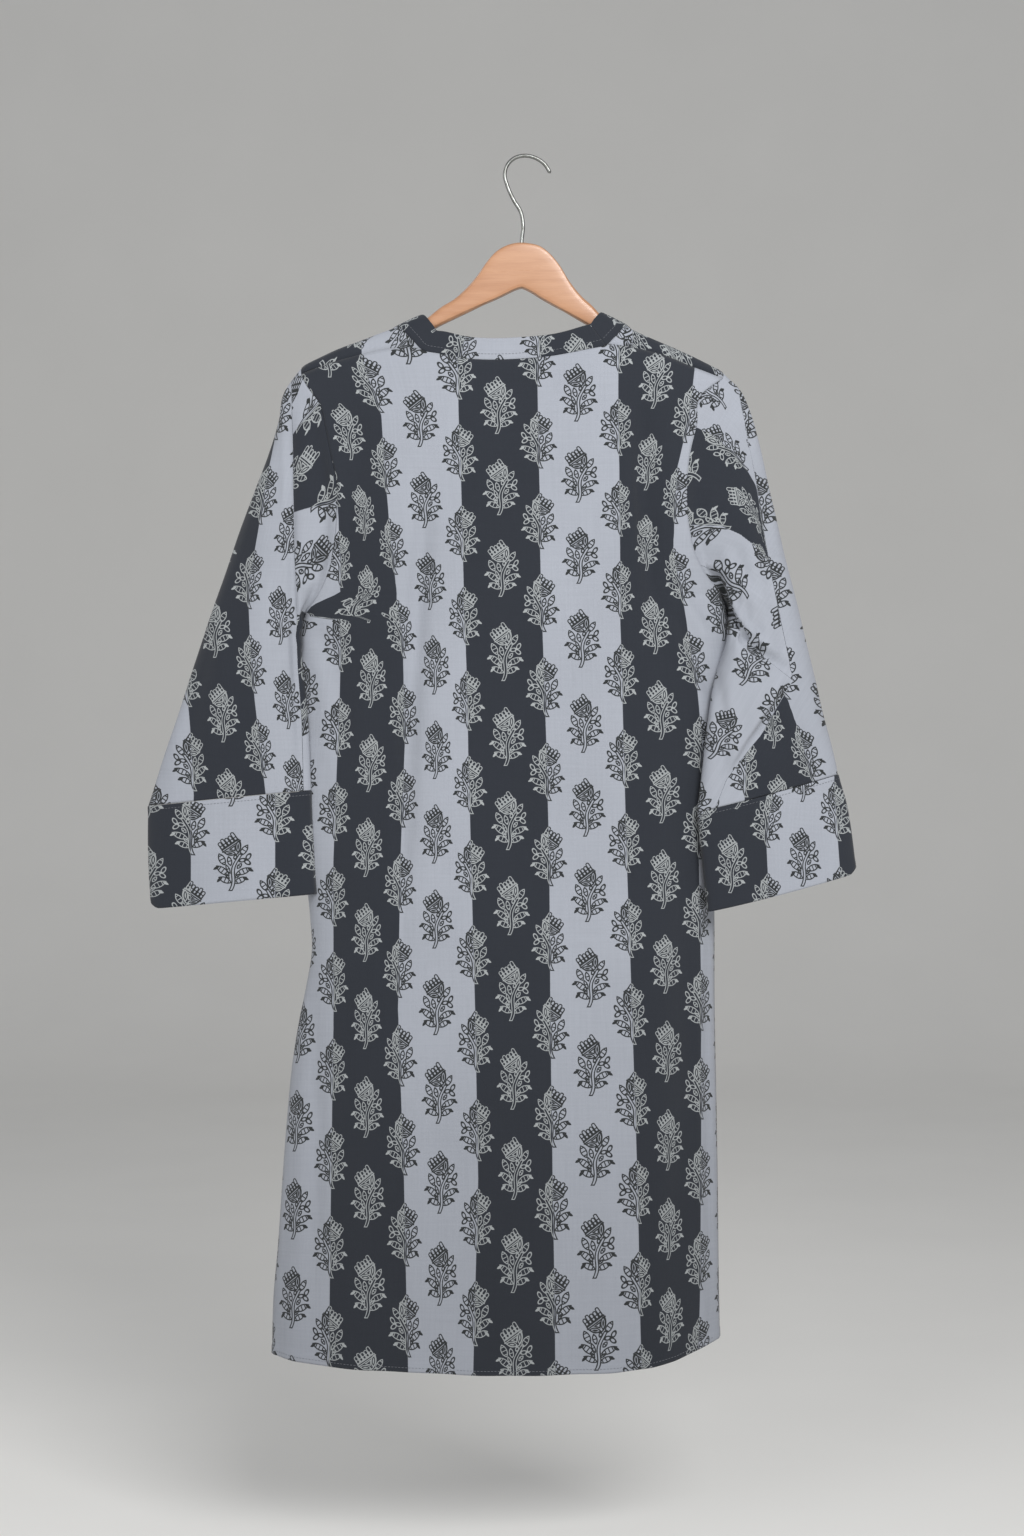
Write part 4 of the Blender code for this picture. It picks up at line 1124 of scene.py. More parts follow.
def printed_colour(tree, uv, print_tree):
    """Colour of the stripes and the flowers' lines."""
    group = tree.nodes.new("ShaderNodeGroup")
    group.node_tree = print_tree
    tree.links.new(chosen_print(tree, uv), group.inputs[0])
    lines = group.outputs["Lines"]
    on_light = blend_colour(tree, lines, srgb(*LIGHT_GROUND), srgb(*DARK_LINE))
    on_dark = blend_colour(tree, lines, srgb(*DARK_GROUND), srgb(*LIGHT_LINE))
    return blend_colour(tree, group.outputs["Dark"], on_light, on_dark)


def cloth_tone_and_painted_shade(tree, uv, where, threads, grain):
    """Uneven threads, cloudy dye and fine grain, with painted shade that makes the cloth darker
    lower down, where less light falls.
    """
    clouds = noise_value(tree, uv, 9.0, 4.0)
    tone = threads * 0.12 + clouds * 0.16 + grain * 0.12 + 0.74
    height = tree.nodes.new("ShaderNodeSeparateXYZ")
    tree.links.new(where, height.inputs[0])
    # Painted shade: the colour is darkened towards the hem, standing in for light that falls off
    # lower down.
    return tone * Value(height.outputs[2]).steps(-1.15, -0.65, 0.82, 1.0)


def stained(tree, colour, where):
    """A colour with the stains over it."""
    mottle = noise_value(tree, where, 90.0, 3.0)
    for place, radius, strength, stain in STAINS:
        moved = vector_math(tree, "SUBTRACT", where, tuple(c * MM for c in place))
        far = Value(vector_math(tree, "LENGTH", moved)) * (1 / (radius * MM))
        share = (far + (mottle - 0.5) * 1.2).steps(0.45, 1.0, strength, 0.0)
        colour = blend_colour(tree, share, colour, srgb(*stain))
    return colour


def cloth_relief(tree, uv, threads):
    """Plain weave, warp over weft, on small soft creases."""
    parts = tree.nodes.new("ShaderNodeSeparateXYZ")
    tree.links.new(uv, parts.inputs[0])
    warp = Value.math("SINE", Value(parts.outputs[0]) * (2 * pi / THREAD_WAVE))
    weft = Value.math("SINE", Value(parts.outputs[1]) * (2 * pi / THREAD_WAVE))
    weave = bumped(tree, warp * weft * 0.5 + threads * 1.4, 0.35, 0.00012)
    creased = noise_value(tree, uv, 24.0, 5.0, (1.0, 0.6, 1.0))
    return bumped(tree, creased, 0.5, 0.0022, weave)


def cloth_material(name, fade, print_tree):
    """Printed cotton. The inside shows the print fainter."""
    material, tree, shader = new_material(name)
    layer = tree.nodes.new("ShaderNodeUVMap")
    layer.uv_map = "print"
    uv = layer.outputs[0]
    where = object_place(tree)
    slubs = noise_value(tree, uv, 520.0, 3.0, (1.0, 0.04, 1.0))
    picks = noise_value(tree, uv, 520.0, 3.0, (0.04, 1.0, 1.0))
    grain = noise_value(tree, uv, 1500.0, 2.0)
    threads = slubs + picks
    scaled = tree.nodes.new("ShaderNodeVectorMath")
    scaled.operation = "SCALE"
    tree.links.new(printed_colour(tree, uv, print_tree), scaled.inputs[0])
    # The tone holds the threads, dye and grain, and also the painted shade that darkens the cloth
    # towards the hem.
    tone = cloth_tone_and_painted_shade(tree, uv, where, threads, grain)
    tree.links.new(tone.socket, scaled.inputs["Scale"])
    colour = stained(tree, scaled.outputs[0], where)
    if fade:
        colour = blend_colour(tree, fade, colour, srgb(*FADED))
    tree.links.new(colour, shader.inputs["Base Color"])
    rough = grain.steps(0.3, 0.7, 0.82, 0.92, False)
    tree.links.new(rough.socket, shader.inputs["Roughness"])
    shader.inputs["Specular IOR Level"].default_value = 0.25
    shader.inputs["Sheen Weight"].default_value = 0.12
    shader.inputs["Sheen Roughness"].default_value = 0.6
    tree.links.new(cloth_relief(tree, uv, threads), shader.inputs["Normal"])
    return material


def back_grid():
    """The back's points across and up, from the shoulder seams and neckline to the hem."""
    left_x = np.linspace(LEFT_SEAM[0][0], LEFT_SEAM[-1][0], SHOULDER_COLUMNS + 1)
    right_x = np.linspace(RIGHT_SEAM[0][0], RIGHT_SEAM[-1][0], SHOULDER_COLUMNS + 1)
    neck_x = np.linspace(BACK_NECK[0][0], BACK_NECK[-1][0], BACK_NECK_COLUMNS + 1)
    top_x = np.concatenate([left_x, neck_x[1:-1], right_x])
    neck_z = curve(BACK_NECK, neck_x)
    top_z = np.concatenate([curve(LEFT_SEAM, left_x), neck_z[1:-1], curve(RIGHT_SEAM, right_x)])
    return panel_rows(top_x, top_z, (LEFT_SEAM[-1][0], RIGHT_SEAM[0][0]), True)


def front_grid():
    """The front's points across and along the cloth from the ridge."""
    left_x, left_arc = shoulder_columns(LEFT_SEAM)
    right_x, right_arc = shoulder_columns(RIGHT_SEAM)
    edge = front_neck_edge()
    start_x = np.concatenate([left_x[:-1], edge[:, 0], right_x[1:]])
    start_arc = np.concatenate([left_arc[:-1], edge[:, 1], right_arc[1:]])
    turns = len(TURN_COLUMNS)
    below = edge[turns - 1:1 - turns] + NECK_MARGIN * away_from_neck(edge)[turns - 1:1 - turns]
    turn = 0.8 * np.arange(1, turns)
    count = len(below)
    step = 0.7 * np.arange(count)
    from_left = np.maximum.accumulate(below[:, 0] - step) + step
    from_right = -(np.maximum.accumulate(-below[::-1, 0] - step) + step)[::-1]
    below[:, 0] = np.where(np.arange(count) < count // 2, from_left, from_right)
    left_neck = below[0, 0] - turn[-1]
    right_neck = below[-1, 0] + turn[-1]
    shoulder = np.linspace(0, 1, SHOULDER_COLUMNS + 1)
    cross_x = np.concatenate([
        mix(start_x[0], left_neck, shoulder), left_neck + turn[:-1], below[:, 0],
        (right_neck - turn[:-1])[::-1], mix(right_neck, start_x[-1], shoulder),
    ])
    level = np.zeros(SHOULDER_COLUMNS + turns - 1)
    cross_arc = np.concatenate([level, np.maximum(below[:, 1], 0.0), level])
    turn_x = np.array([mix(start_x, cross_x, t) for t in TURN_ROWS])
    turn_arc = np.array([mix(start_arc, cross_arc, t) for t in TURN_ROWS])
    cross_z = curve(RIDGE, cross_x) - down_from_arc(cross_arc)
    x, z = panel_rows(cross_x, cross_z, (left_neck, right_neck), False)
    arc = arc_from_down(curve(RIDGE, x) - z)
    return np.concatenate([turn_x, x]), np.concatenate([turn_arc, arc])


def refine(first, second):
    """Where to read two grids of numbers so that their points lie a step apart."""
    down = np.hypot(np.diff(first, axis=0), np.diff(second, axis=0)).mean(axis=1)
    across = np.hypot(np.diff(first, axis=1), np.diff(second, axis=1)).mean(axis=0)
    return stations(down), stations(across)


def finer(grid, rows_at, columns_at):
    return sample(sample(grid, rows_at, 0, True), columns_at, 1, True)


def to_edges(x, z):
    """Moves the outer columns onto the panel's edges, and their neighbours with them."""
    left = curve(LEFT_EDGE, z[:, 0]) - x[:, 0]
    right = curve(RIGHT_EDGE, z[:, -1]) - x[:, -1]
    near_left = np.clip(1 - (x - x[:, :1]) / EDGE_RUN, 0, 1)
    near_right = np.clip(1 - (x[:, -1:] - x) / EDGE_RUN, 0, 1)
    return x + left[:, None] * near_left + right[:, None] * near_right


def from_sides(points):
    """Distance of each point from the nearer end of its row."""
    arc = arc_lengths(points)
    return np.minimum(arc, arc[:, -1:] - arc)


def from_top(points):
    step = np.linalg.norm(np.diff(points, axis=0), axis=-1)
    return np.concatenate([np.zeros((1, points.shape[1])), np.cumsum(step, axis=0)])


def finish_panel(name, points, inward, creases, seed, u, v, sign):
    """Opens the slits, shapes the hem, adds the creases and makes the piece."""
    side = from_sides(points)
    top = from_top(points)
    slit = np.clip((SLIT_Z - points[..., 2]) / SLIT_RUN, 0, 1) * SLIT_OPEN
    points[..., 1] += sign * slit * np.interp(side, (0.0, 8.4, 18.3), (1.0, 0.6, 0.0))
    lift = np.interp(points[..., 0], *np.array(HEM_LIFT).T)
    points[..., 2] += lift * ease((HEM_RISE[0] - points[..., 2]) / HEM_RISE[1])
    fade = ease(side / 12) * ease(top / 10)
    across, up = seen(points)
    relief = (crease_relief(creases, across, up) + waves(points, seed, 0.9)) * fade
    # Turnings of the cloth at the armholes, shoulders and hem
    upper = ease((points[..., 2] + 470) / 40)
    relief += 0.45 * np.exp(-(((side - 3.0) / 1.8) ** 2)) * upper
    relief += 0.35 * np.exp(-(((top - 3.0) / 1.8) ** 2))
    low = from_top(points[::-1])[::-1]
    relief += 0.5 * ease((HEM_TURN - low) / 1.5) + 1.6 * np.exp(-((low / 30) ** 2)) * (
        np.sin(points[..., 0] / 23.0 + seed) + 0.6 * np.sin(points[..., 0] / 9.5 + 2 * seed)
    ) * ease(side / 20)
    points = points - inward * relief[..., None]
    ob = surface(name, points, -inward, u, v)
    return ob, points


def make_back():
    x, z = back_grid()
    at = refine(x, z)
    x = finer(x, *at)
    z = finer(z, *at)
    z[-1] = HEM_Z
    x = to_edges(x, z)
    points, inward = body_points(x, z, False)
    u, v = panel_print(points, BACK_STRIPES)
    return finish_panel("cloth_back", points, inward, BACK_CREASES, 3, u, v, -1)


def make_front():
    x, arc = front_grid()
    at = refine(x, arc)
    x = finer(x, *at)
    arc = finer(arc, *at)
    z = curve(RIDGE, x) - down_from_arc(arc)
    z[-1] = HEM_Z
    x = to_edges(x, z)
    points, inward = body_points(x, z, arc >= 0)
    u, _ = panel_print(points, FRONT_STRIPES)
    height = np.where(arc >= 0, z, curve(RIDGE, x) - arc)
    v = (FLOWER_ROWS[0] - height) / PITCH + 0.35
    return finish_panel("cloth_front", points, inward, FRONT_CREASES, 5, u + 1, v, 1)


def make_band():
    """Neck band: a strip that lies over the panels' neck edges."""
    neck_x = np.linspace(BACK_NECK[0][0], BACK_NECK[-1][0], BACK_NECK_COLUMNS + 1)
    drop = curve(RIDGE, neck_x) - curve(BACK_NECK, neck_x)
    back_edge = np.stack([neck_x, -arc_from_down(drop)], -1)
    loop = np.concatenate([back_edge[::-1], front_neck_edge()[1:-1]])
    lengths = np.linalg.norm(np.diff(np.concatenate([loop, loop[:1]]), axis=0), axis=1)
    at = stations(lengths, BAND_STEP)[:-1]
    loop = sample(loop, at, 0, True, True)
    ends = np.concatenate([loop[-BAND_ENDS:], loop, loop[:BAND_ENDS]])
    inwards = -away_from_neck(ends)[BAND_ENDS:-BAND_ENDS]
    shares = np.array(BAND_ROWS)
    x = loop[None, :, 0] + inwards[None, :, 0] * shares[:, None]
    arc = loop[None, :, 1] + inwards[None, :, 1] * shares[:, None]
    z = curve(RIDGE, x) - down_from_arc(arc)
    points, inward = body_points(x, z, arc >= 0)
    proud = np.array(BAND_PROUD)[:, None] + 0.12 * np.sin(at * 1.7)[None, :]
    points = points - inward * proud[..., None]
    # Length of band from the back's edge of the light stripe
    closed = np.concatenate([points[3], points[3, :1]])
    run = np.concatenate([[0], np.cumsum(np.linalg.norm(np.diff(closed, axis=0), axis=1))[:-1]])
    back = run < BACK_NECK_LENGTH
    start = np.interp(-BAND_LIGHT, -points[3, back, 0], run[back])
    u = np.broadcast_to(1 + (start - run) / BAND_STRIPE, x.shape)
    v = BAND_FLOWERS + (BAND_WIDTH / 2 - shares[:, None]) / PITCH + np.zeros(x.shape)
    # The last cells close the loop, so they continue the count
    points = np.concatenate([points, points[:, :1]], axis=1)
    inward = np.concatenate([inward, inward[:, :1]], axis=1)
    u = np.concatenate([u, u[:, -1:] - BAND_STEP / BAND_STRIPE], axis=1)
    v = np.concatenate([v, v[:, -1:]], axis=1)
    ob = surface("cloth_neck_band", points, -inward, u, v)
    return ob, points, -inward


def sleeve_rings(first, low, rows, folds):
    """Rings of a sleeve from the armhole to the cuff."""
    shares, side = ring_shares(first, low)
    straight = np.array([mix(first[0], first[low], s) for s in shares])
    bow = first - straight
    bow[:, 1] = 0
    rings = [first]
    for i, row in enumerate(rows):
        keep = max(0.0, 1 - (i + 0.6) / 7.0) ** 1.3
        ring = flat_ring(row, shares, side) + bow * keep
        hollow = fold_depth(folds, ring[:, 0], ring[:, 2])
        ring[:, 1] += np.clip(-side, 0, 1) * hollow
        rings.append(ring)
    return np.array(rings)


def fine_tube(rings, low):
    """Finer rings, the column of their lower fold, and directions out of the tube."""
    closed = np.concatenate([rings, rings[:, :1]], axis=1)
    lengths = np.linalg.norm(np.diff(closed, axis=1), axis=-1).mean(axis=0)
    round_at = stations(lengths)[:-1]
    along = np.linalg.norm(np.diff(rings, axis=0), axis=-1).mean(axis=1)
    rings = sample(rings, stations(along), 0, True)
    rings = sample(rings, round_at, 1, True, True)
    low = int(np.argmin(np.abs(round_at - low)))
    outward = normals(rings, True)
    centre = rings.mean(axis=1, keepdims=True)
    if (outward * (rings - centre)).sum() < 0:
        outward = -outward
    return rings, low, outward


def around(rings):
    """Length of cloth round the hidden side, from the outer fold."""
    closed = np.concatenate([rings, rings[:, :1]], axis=1)
    step = np.linalg.norm(np.diff(closed, axis=1), axis=-1)
    return np.cumsum(step[:, ::-1], axis=1)[:, ::-1]


def hidden_print(rings, u, v):
    """Print of a tube's hidden side, carried on round its outer fold."""
    length = around(rings)
    length[:, 0] = 0.0
    return u[:, :1] - length / STRIPE, v[:, :1] + 0 * length


def left_sleeve_print(rings):
    across, up = seen(rings)
    dark = column(LEFT_STRIPES, up, 1)
    light = column(LEFT_STRIPES, up, 2)
    u = (across - dark) / (light - dark)
    u = np.where(across < dark, (across - dark) / STRIPE, u)
    u = np.where(across > light, 1 + (across - light) / LEFT_FOLDED, u)
    v = SKEW + (LEFT_ROW - up) / PITCH
    heights = [
        z0 + (across - x0) / (x1 - x0) * (z1 - z0) for x0, z0, x1, z1 in LEFT_CROSS
    ]
    cross = np.where(
        up > heights[1], (heights[0] - up) / (heights[0] - heights[1]),
        1 + (heights[1] - up) / (heights[1] - heights[2]),
    )
    crease = column(LEFT_CREASE, up, 1)
    along = 0.3 - (across - crease) / LEFT_UNDER_PITCH
    mask = np.clip(across - crease, -MASK_EDGE, MASK_EDGE)
    return u, v, [(cross, along, mask)], u, v


def right_sleeve_print(rings):
    across, up = seen(rings)
    top = column(CAP_UPPER, across, 1)
    low = column(CAP_LOWER, across, 1)
    u = (up - low) / (top - low)
    u = np.where(up > top, np.minimum(1 + (up - top) / STRIPE, 1.98), u)
    u = np.where(up < low, np.maximum((up - low) / CAP_BELOW, -0.98), u)
    turn = radians(CAP_TURN)
    v = (across * cos(turn) - up * sin(turn)) / CAP_PITCH + CAP_SHIFT
    dx = across - UNDER_MIDDLE[0]
    dz = up - UNDER_MIDDLE[1]
    under_u = 1.5 + (dx * UNDER_WAY[0] + dz * UNDER_WAY[1]) / UNDER_STRIPE
    under_v = SKEW + (dx * UNDER_WAY[1] - dz * UNDER_WAY[0]) / UNDER_PITCH
    crease = column(UNDER_CREASE, across, 1)
    under_mask = np.clip(crease - up, -MASK_EDGE, MASK_EDGE)
    line = column(ELBOW_LINE, up, 1)
    left = column(RIGHT_STRIPES, up, 1)
    right = column(RIGHT_STRIPES, up, 2)
    arm_u = (across - left) / (right - left)
    arm_u = np.where(across > right, 1 + (across - right) / STRIPE, arm_u)
    arm_u = np.where(across < left, (across - left) / STRIPE, arm_u)
    arm_v = (ARM_ROW - up) / PITCH
    arm_mask = np.clip(across - line, -MASK_EDGE, MASK_EDGE)
    zones = [(np.clip(under_u, 1.02, 1.98), under_v, under_mask), (arm_u, arm_v, arm_mask)]
    return u, v, zones, arm_u, arm_v


def tube_relief(rings, low, creases, seed, size=0.8):
    """Creases of a tube: the visible ones, and like ones on the hidden side."""
    across, up = seen(rings)
    columns = rings.shape[1]
    visible = (np.arange(columns) <= low)[None, :]
    moved = [(x0 - 6, z0 - 22, x1 - 9, z1 - 18, x2 - 6, z2 - 12, h * 1.2, d * 0.7, r * 0.7)
             for x0, z0, x1, z1, x2, z2, h, d, r in creases]
    relief = np.where(
        visible, crease_relief(creases, across, up), crease_relief(moved, across, up),
    )
    share = np.arange(columns) / low
    near = np.minimum(share, np.abs(1 - share))
    near = np.minimum(near, (columns - np.arange(columns)) / (columns - low))
    return relief * ease(near / 0.05)[None, :] + waves(rings, seed, size)


def against_body(rings, low, out):
    """Lets the inner fold lie over the body's edge."""
    columns = np.arange(rings.shape[1])
    left = len(columns) - columns
    share = np.where(columns <= low, columns / low, left / (len(columns) - low))
    moved = rings.copy()
    moved[..., 0] -= out * LAP * share**4 * ease((-420 - rings[..., 2]) / 35)
    return moved


def first_twice(grid):
    return np.concatenate([grid[:1], grid])


def make_sleeve(name, first, low, rows, folds, creases, seed, out, prints):
    rings, low, outward = fine_tube(sleeve_rings(first, low, rows, folds), low)
    rings = against_body(rings, low, out)
    relief = tube_relief(rings, low, creases, seed)
    top = from_top(rings)
    end = from_top(rings[::-1])[::-1]
    relief = relief * ease((top - 2) / 14) * ease(end / 9)
    u, v, zones, fold_u, fold_v = prints(rings)
    hidden = hidden_print(rings, fold_u, fold_v)
    rings = rings + outward * relief[..., None]
    # The first rows tuck under the body's edge
    shift = np.array([-out * TUCK, 0, 0])
    inside = rings[0] + shift - outward[0] * 1.5
    rings[0] = rings[0] + 0.3 * (rings[1] - rings[0]) - outward[0] * 0.25
    rings = np.concatenate([inside[None], rings])
    outward, u, v = first_twice(outward), first_twice(u), first_twice(v)
    zones = [tuple(first_twice(part) for part in zone) for zone in zones]
    hidden = (low, first_twice(hidden[0]), first_twice(hidden[1]))
    return surface(name, rings, outward, u, v, True, hidden, zones)


def make_cuff(name, rows, first, first_low, sleeve_end, prints, seed):
    """A separate band over the sleeve's end."""
    shares, side = ring_shares(first, first_low)
    rings = [flat_ring(row, shares, side) for row in rows]
    way = rings[0] - sleeve_end
    way /= np.linalg.norm(way, axis=-1, keepdims=True)
    rings = np.array([sleeve_end + start * way for start in CUFF_START] + rings)
    rings[-1][:, 2] += CORNER_LIFT * np.clip(1 - shares / 0.06, 0, 1) ** 2
    rings, low, outward = fine_tube(rings, first_low)
    rings = against_body(rings, low, -1 if rings[0, 0, 0] < 0 else 1)
    top = from_top(rings)
    end = from_top(rings[::-1])[::-1]
    relief = tube_relief(rings, low, CUFF_CREASES, seed, 0.5) * ease(top / 16)
    relief += CUFF_PROUD + 0.35 * np.exp(-(((top - 2.5) / 1.6) ** 2))
    relief += 0.3 * ease((7 - end) / 1.5)
    u, v = prints(rings)
    hidden = (low,) + hidden_print(rings, u, v)
    rings = rings + outward * relief[..., None]
    ob = surface(name, rings, outward, u, v, True, hidden)
    return ob, rings, outward


def left_cuff_print(rings):
    across, up = seen(rings)
    u = 1 + (across - LEFT_CUFF_EDGE) / LEFT_CUFF_STRIPE
    return u, SKEW + (LEFT_CUFF_ROW - up) / PITCH


def right_cuff_print(rings):
    across, up = seen(rings)
    edge = column(RIGHT_CUFF_FIRST, up, 1)
    end = column(RIGHT_CUFF_LAST, up, 1)
    u = 1 + (across - edge) / (end - edge)
    rise = RIGHT_CUFF_SLANT * (across - RIGHT_CUFF_MIDDLE)
    return u, SKEW + (RIGHT_CUFF_ROW - up) / PITCH + rise


def tube(name, centre, radius, sides):
    """A round wire along points."""
    centre = np.asarray(centre, float)
    radius = np.broadcast_to(radius, len(centre))
    way = np.gradient(centre, axis=0)
    way /= np.linalg.norm(way, axis=1, keepdims=True)
    side = np.cross(way, (0, 1.0, 0))
    side /= np.maximum(np.linalg.norm(side, axis=1, keepdims=True), 1e-9)
    up = np.cross(side, way)
    bm = bmesh.new()
    rings = []
    for c, r, s, t in zip(centre, radius, side, up):
        ring = []
        for j in range(sides):
            a = 2 * pi * j / sides
            ring.append(bm.verts.new(Vector(c + r * (s * cos(a) + t * sin(a))) * MM))
        rings.append(ring)
    for a, b in zip(rings, rings[1:]):
        for j in range(sides):
            bm.faces.new((a[j], a[(j + 1) % sides], b[(j + 1) % sides], b[j]))
    bm.faces.new(rings[0][::-1])
    bm.faces.new(rings[-1])
    mesh = bpy.data.meshes.new(name)
    bmesh.ops.recalc_face_normals(bm, faces=bm.faces)
    bm.to_mesh(mesh)
    bm.free()
    return new_object(name, mesh)


def stitches(name, path, outward, closed):
    """A row of stitches along a path on the cloth, as one mesh."""
    path = np.asarray(path)
    if closed:
        path = np.concatenate([path, path[:1]])
        outward = np.concatenate([outward, outward[:1]])
    reach = np.concatenate([[0], np.cumsum(np.linalg.norm(np.diff(path, axis=0), axis=1))])
    starts = np.arange(0, reach[-1] - STITCH, STITCH_PITCH)

    def read(points, at):
        return np.array([np.interp(at, reach, points[:, k]) for k in range(3)])

    verts = []
    faces = []
    for start in starts:
        base = len(verts)
        for share, rise in STITCH_SHAPE:
            at = start + share * STITCH
            place = read(path, at)
            out = read(outward, at)
            out /= np.linalg.norm(out)
            side = np.cross(out, read(path, at + 0.5) - read(path, at - 0.5))
            side /= np.linalg.norm(side)
            wide = STITCH_THICK * (1.0 if 0.1 < share < 0.9 else 0.6)
            for a in range(STITCH_SIDES):
                angle = 2 * pi * a / STITCH_SIDES
                lifted = out * (rise + wide * 0.8 * cos(angle))
                verts.append(place + lifted + side * wide * sin(angle))
        last = base + STITCH_SIDES * (len(STITCH_SHAPE) - 1)
        for ring in range(base, last, STITCH_SIDES):
            for a in range(STITCH_SIDES):
                b = (a + 1) % STITCH_SIDES
                above = ring + STITCH_SIDES
                faces.append((ring + a, ring + b, above + b, above + a))
        faces.append(tuple(base + a for a in range(STITCH_SIDES)))
        faces.append(tuple(last + a for a in reversed(range(STITCH_SIDES))))
    mesh = bpy.data.meshes.new(name)
    mesh.from_pydata((np.array(verts) * MM).tolist(), [], faces)
    return new_object(name, mesh)


def arm_stations(rows):
    """Sections of an arm that follows the ridge just under the cloth."""
    table = np.array(rows)
    out = []
    for x in np.linspace(table[0, 0], table[-1, 0], 24):
        height = float(np.interp(x, table[:, 0], table[:, 1]))
        clear = float(np.interp(x, table[:, 0], table[:, 2]))
        top = float(curve(RIDGE, x)) - clear - 0.5 * max(0.0, 15.0 - height)
        out.append((x, top, top - height))
    return out


def make_hanger():
    """The wood: rounded sections along its length."""
    hump = np.array(HUMP)
    x = np.linspace(hump[0, 0], hump[-1, 0], 110)
    middle = list(zip(x, curve(HUMP, x, 1), curve(HUMP, x, 2)))
    rows = arm_stations(LEFT_ARM) + middle + arm_stations(RIGHT_ARM)
    rings = []
    for x, top, low in rows:
        k = min(1.0, (top - low) / 15.0)
        w = ARM_HALF * (0.55 + 0.45 * k)
        shape = [
            (0.0, top), (0.42 * w, top - 0.5 * k), (0.77 * w, top - 2.2 * k), (w, top - 5.5 * k),
            (w, low + 3.5 * k), (0.77 * w, low + 1.2 * k), (0.42 * w, low),
        ]
        shape += [(-y, z) for y, z in shape[:0:-1]]
        ring = sample(np.array(shape), np.arange(0, len(shape), 0.25), 0, True, True)
        rings.append([(x, y, z) for y, z in ring])
    rings = np.array(rings)
    count, sides = rings.shape[:2]
    index = np.arange(count * sides).reshape(count, sides)
    nxt = np.roll(index, -1, axis=1)
    quads = np.stack([index[:-1], nxt[:-1], nxt[1:], index[1:]], -1).reshape(-1, 4).tolist()
    faces = quads + [index[0][::-1].tolist(), index[-1].tolist()]
    mesh = bpy.data.meshes.new("hanger_wood")
    mesh.from_pydata((rings.reshape(-1, 3) * MM).tolist(), [], faces)
    return new_object("hanger_wood", mesh)


def make_hook():
    rows = np.array(HOOK)
    reach = np.concatenate([[0], np.cumsum(np.hypot(*np.diff(rows, axis=0).T))])
    at = np.linspace(0, reach[-1], 120)
    x = curve(np.stack([reach, rows[:, 0]], -1), at)
    z = curve(np.stack([reach, rows[:, 1]], -1), at)
    radius = WIRE * np.sqrt(np.clip(1 - ((at - reach[-1] + WIRE) / WIRE).clip(0) ** 2, 0.02, 1))
    return tube("hook_wire", np.stack([x, 0 * x, z], -1), radius, 24)


def wood_material():
    """Clear-varnished wood with fine grain along the hanger."""
    material, tree, shader = new_material("varnished_wood")
    where = object_place(tree)
    streaks = noise_value(tree, where, 160.0, 5.0, (0.12, 1.0, 1.0))
    fine = noise_value(tree, where, 900.0, 3.0, (0.05, 1.0, 1.0))
    broad = noise_value(tree, where, 25.0, 2.0, (0.4, 1.0, 1.0))
    tone = (streaks * 0.5 + fine * 0.25 + broad * 0.35 - 0.05).steps(0.3, 0.75, 0.0, 1.0)
    colour = blend_colour(tree, tone, srgb(192, 145, 111), srgb(170, 120, 86))
    tree.links.new(colour, shader.inputs["Base Color"])
    rough = fine.steps(0.3, 0.7, 0.26, 0.38, False)
    tree.links.new(rough.socket, shader.inputs["Roughness"])
    shader.inputs["Coat Weight"].default_value = 0.35
    shader.inputs["Coat Roughness"].default_value = 0.22
    tree.links.new(bumped(tree, streaks, 0.25, 0.0002), shader.inputs["Normal"])
    return material


def steel_material():
    """Polished steel wire with faint drawing marks."""
    material, tree, shader = new_material("polished_steel")
    where = object_place(tree)
    marks = noise_value(tree, where, 700.0, 3.0, (1.0, 1.0, 0.25))
    colour = blend_colour(tree, marks.steps(0.3, 0.7), srgb(150, 152, 150), srgb(124, 124, 120))
    tree.links.new(colour, shader.inputs["Base Color"])
    shader.inputs["Metallic"].default_value = 1.0
    rough = marks.steps(0.3, 0.7, 0.26, 0.38, False)
    tree.links.new(rough.socket, shader.inputs["Roughness"])
    return material


def thread_material():
    material, tree, shader = new_material("thread")
    where = object_place(tree)
    twist = noise_value(tree, where, 2500.0, 2.0)
    colour = blend_colour(tree, twist, srgb(92, 95, 101), srgb(124, 126, 132))
    tree.links.new(colour, shader.inputs["Base Color"])
    shader.inputs["Roughness"].default_value = 0.7
    return material


def armholes():
    """Rings round the left and right armhole, and the column of the underarm."""
    x, z = back_grid()
    coarse_back, _ = body_points(x, z, False)
    x, arc = front_grid()
    z = curve(RIDGE, x) - down_from_arc(arc)
    turn = len(TURN_ROWS)
    x[:turn, 0] = curve(LEFT_EDGE, z[:turn, 0])
    x[:turn, -1] = curve(RIGHT_EDGE, z[:turn, -1])
    coarse_front, _ = body_points(x, z, arc >= 0)
    left, low = armhole_ring(coarse_back, coarse_front, 0)
    right, low = armhole_ring(coarse_back, coarse_front, -1)
    return left, right, low


back, back_points = make_back()
front, front_points = make_front()
band, band_points, band_out = make_band()

left_hole, right_hole, low = armholes()
sleeve_left = make_sleeve(
    "cloth_sleeve_left", left_hole, low, LEFT_SLEEVE, LEFT_SLEEVE_FOLDS, LEFT_SLEEVE_CREASES, 7, -1,
    left_sleeve_print,
)
sleeve_right = make_sleeve(
    "cloth_sleeve_right", right_hole, low, RIGHT_SLEEVE, RIGHT_SLEEVE_FOLDS,
    RIGHT_SLEEVE_CREASES, 9, 1, right_sleeve_print,
)
left_end = sleeve_rings(left_hole, low, LEFT_SLEEVE, LEFT_SLEEVE_FOLDS)[-1]
right_end = sleeve_rings(right_hole, low, RIGHT_SLEEVE, RIGHT_SLEEVE_FOLDS)[-1]
cuff_left, left_cuff, left_cuff_out = make_cuff(
    "cloth_cuff_left", LEFT_CUFF, left_hole, low, left_end, left_cuff_print, 11
)
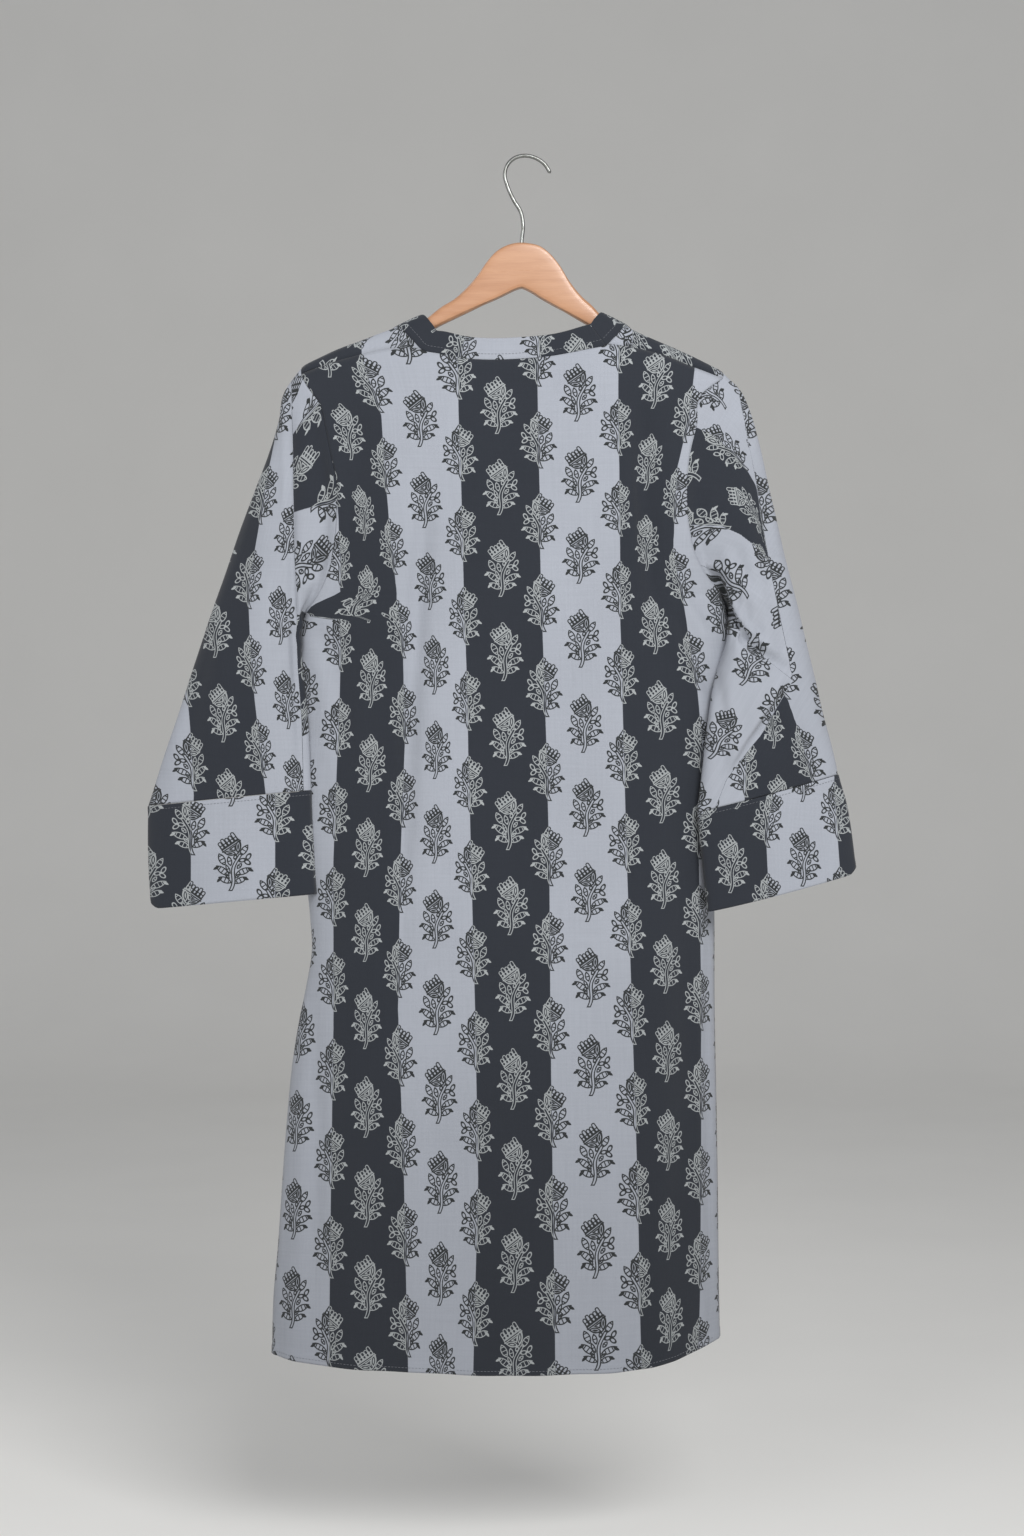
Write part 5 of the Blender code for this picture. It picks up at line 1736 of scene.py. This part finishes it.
cuff_right, right_cuff, right_cuff_out = make_cuff(
    "cloth_cuff_right", RIGHT_CUFF, right_hole, low, right_end, right_cuff_print, 13
)
hanger = make_hanger()
hook = make_hook()

print_tree = print_group()
outside = cloth_material("printed_cotton", 0.0, print_tree)
inside = cloth_material("printed_cotton_inside", 0.45, print_tree)
thread = thread_material()
CLOTHS = [
    (back, "back_panel"), (front, "front_panel"), (band, "neck_band"),
    (sleeve_left, "sleeve_left"), (sleeve_right, "sleeve_right"),
    (cuff_left, "cuff_left"), (cuff_right, "cuff_right"),
]
for piece, node in CLOTHS:
    piece.data.materials.append(outside)
    piece.data.materials.append(inside)
    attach(piece, "root")
    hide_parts(node)

back_hem = back_points[-3, 2:-2]
front_hem = front_points[-3, 2:-2]
rows = [
    ("stitches_band", band_points[3, :-1], band_out[3, :-1], True),
    ("stitches_cuff_left", left_cuff[2], left_cuff_out[2], True),
    ("stitches_cuff_right", right_cuff[2], right_cuff_out[2], True),
    ("stitches_hem_back", back_hem, np.array([[0, -1.0, 0]] * len(back_hem)), False),
    ("stitches_hem_front", front_hem, np.array([[0, 1.0, 0]] * len(front_hem)), False),
]
for name, path, out, closed in rows:
    row = stitches(name, path, out, closed)
    row.data.materials.append(thread)
    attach(row, "root")

hanger.data.materials.append(wood_material())
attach(hanger, "root")
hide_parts("hanger_body")
hook.data.materials.append(steel_material())
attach(hook, "root")
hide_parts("hook")


def make_floor():
    """Wide plain pale floor that bends up into a wall far behind the tunic."""
    profile = [(FLOOR_FRONT, FLOOR_Z)]
    profile += [
        (WALL_START + WALL_BEND * sin(a), FLOOR_Z + WALL_BEND * (1 - cos(a)))
        for a in np.linspace(0.0, pi / 2, 16)
    ]
    profile += [(WALL_START + WALL_BEND, WALL_TOP)]
    verts = [(x, y, z) for y, z in profile for x in (-FLOOR_SIDE, FLOOR_SIDE)]
    faces = [(2 * i, 2 * i + 1, 2 * i + 3, 2 * i + 2) for i in range(len(profile) - 1)]
    mesh = bpy.data.meshes.new("floor")
    mesh.from_pydata(verts, [], faces)
    ob = new_object("floor", mesh)
    material, tree, shader = new_material("floor_paper")
    tone = noise_value(tree, object_place(tree), 3.0, 3.0)
    colour = blend_colour(tree, tone, srgb(232, 231, 228), srgb(238, 237, 234))
    tree.links.new(colour, shader.inputs["Base Color"])
    shader.inputs["Roughness"].default_value = 0.9
    ob.data.materials.append(material)
    return ob


def area_light(name, place, target, size, power):
    data = bpy.data.lights.new(name, "AREA")
    data.shape = "RECTANGLE"
    data.size, data.size_y = size
    data.energy = power
    ob = bpy.data.objects.new(name, data)
    bpy.context.collection.objects.link(ob)
    ob.location = place
    ob.rotation_mode = "QUATERNION"
    ob.rotation_quaternion = (Vector(target) - Vector(place)).to_track_quat("-Z", "Y")
    return ob


make_floor()
for light in LIGHTS:
    area_light(*light)
world = bpy.data.worlds.new("studio")
bpy.context.scene.world = world
world.use_nodes = True
world.node_tree.nodes["Background"].inputs[0].default_value = SKY
world.node_tree.nodes["Background"].inputs[1].default_value = SKY_POWER
bpy.context.scene.view_settings.view_transform = "Standard"

camera_data = bpy.data.cameras.new("camera")
camera_data.sensor_width = SENSOR
camera_data.lens = SENSOR * -CAMERA[1] / FRAME_HEIGHT
camera_data.clip_end = 20.0
camera = bpy.data.objects.new("camera", camera_data)
bpy.context.collection.objects.link(camera)
camera.location = Vector(CAMERA) * MM
camera.rotation_euler = (pi / 2, 0.0, 0.0)
bpy.context.scene.camera = camera
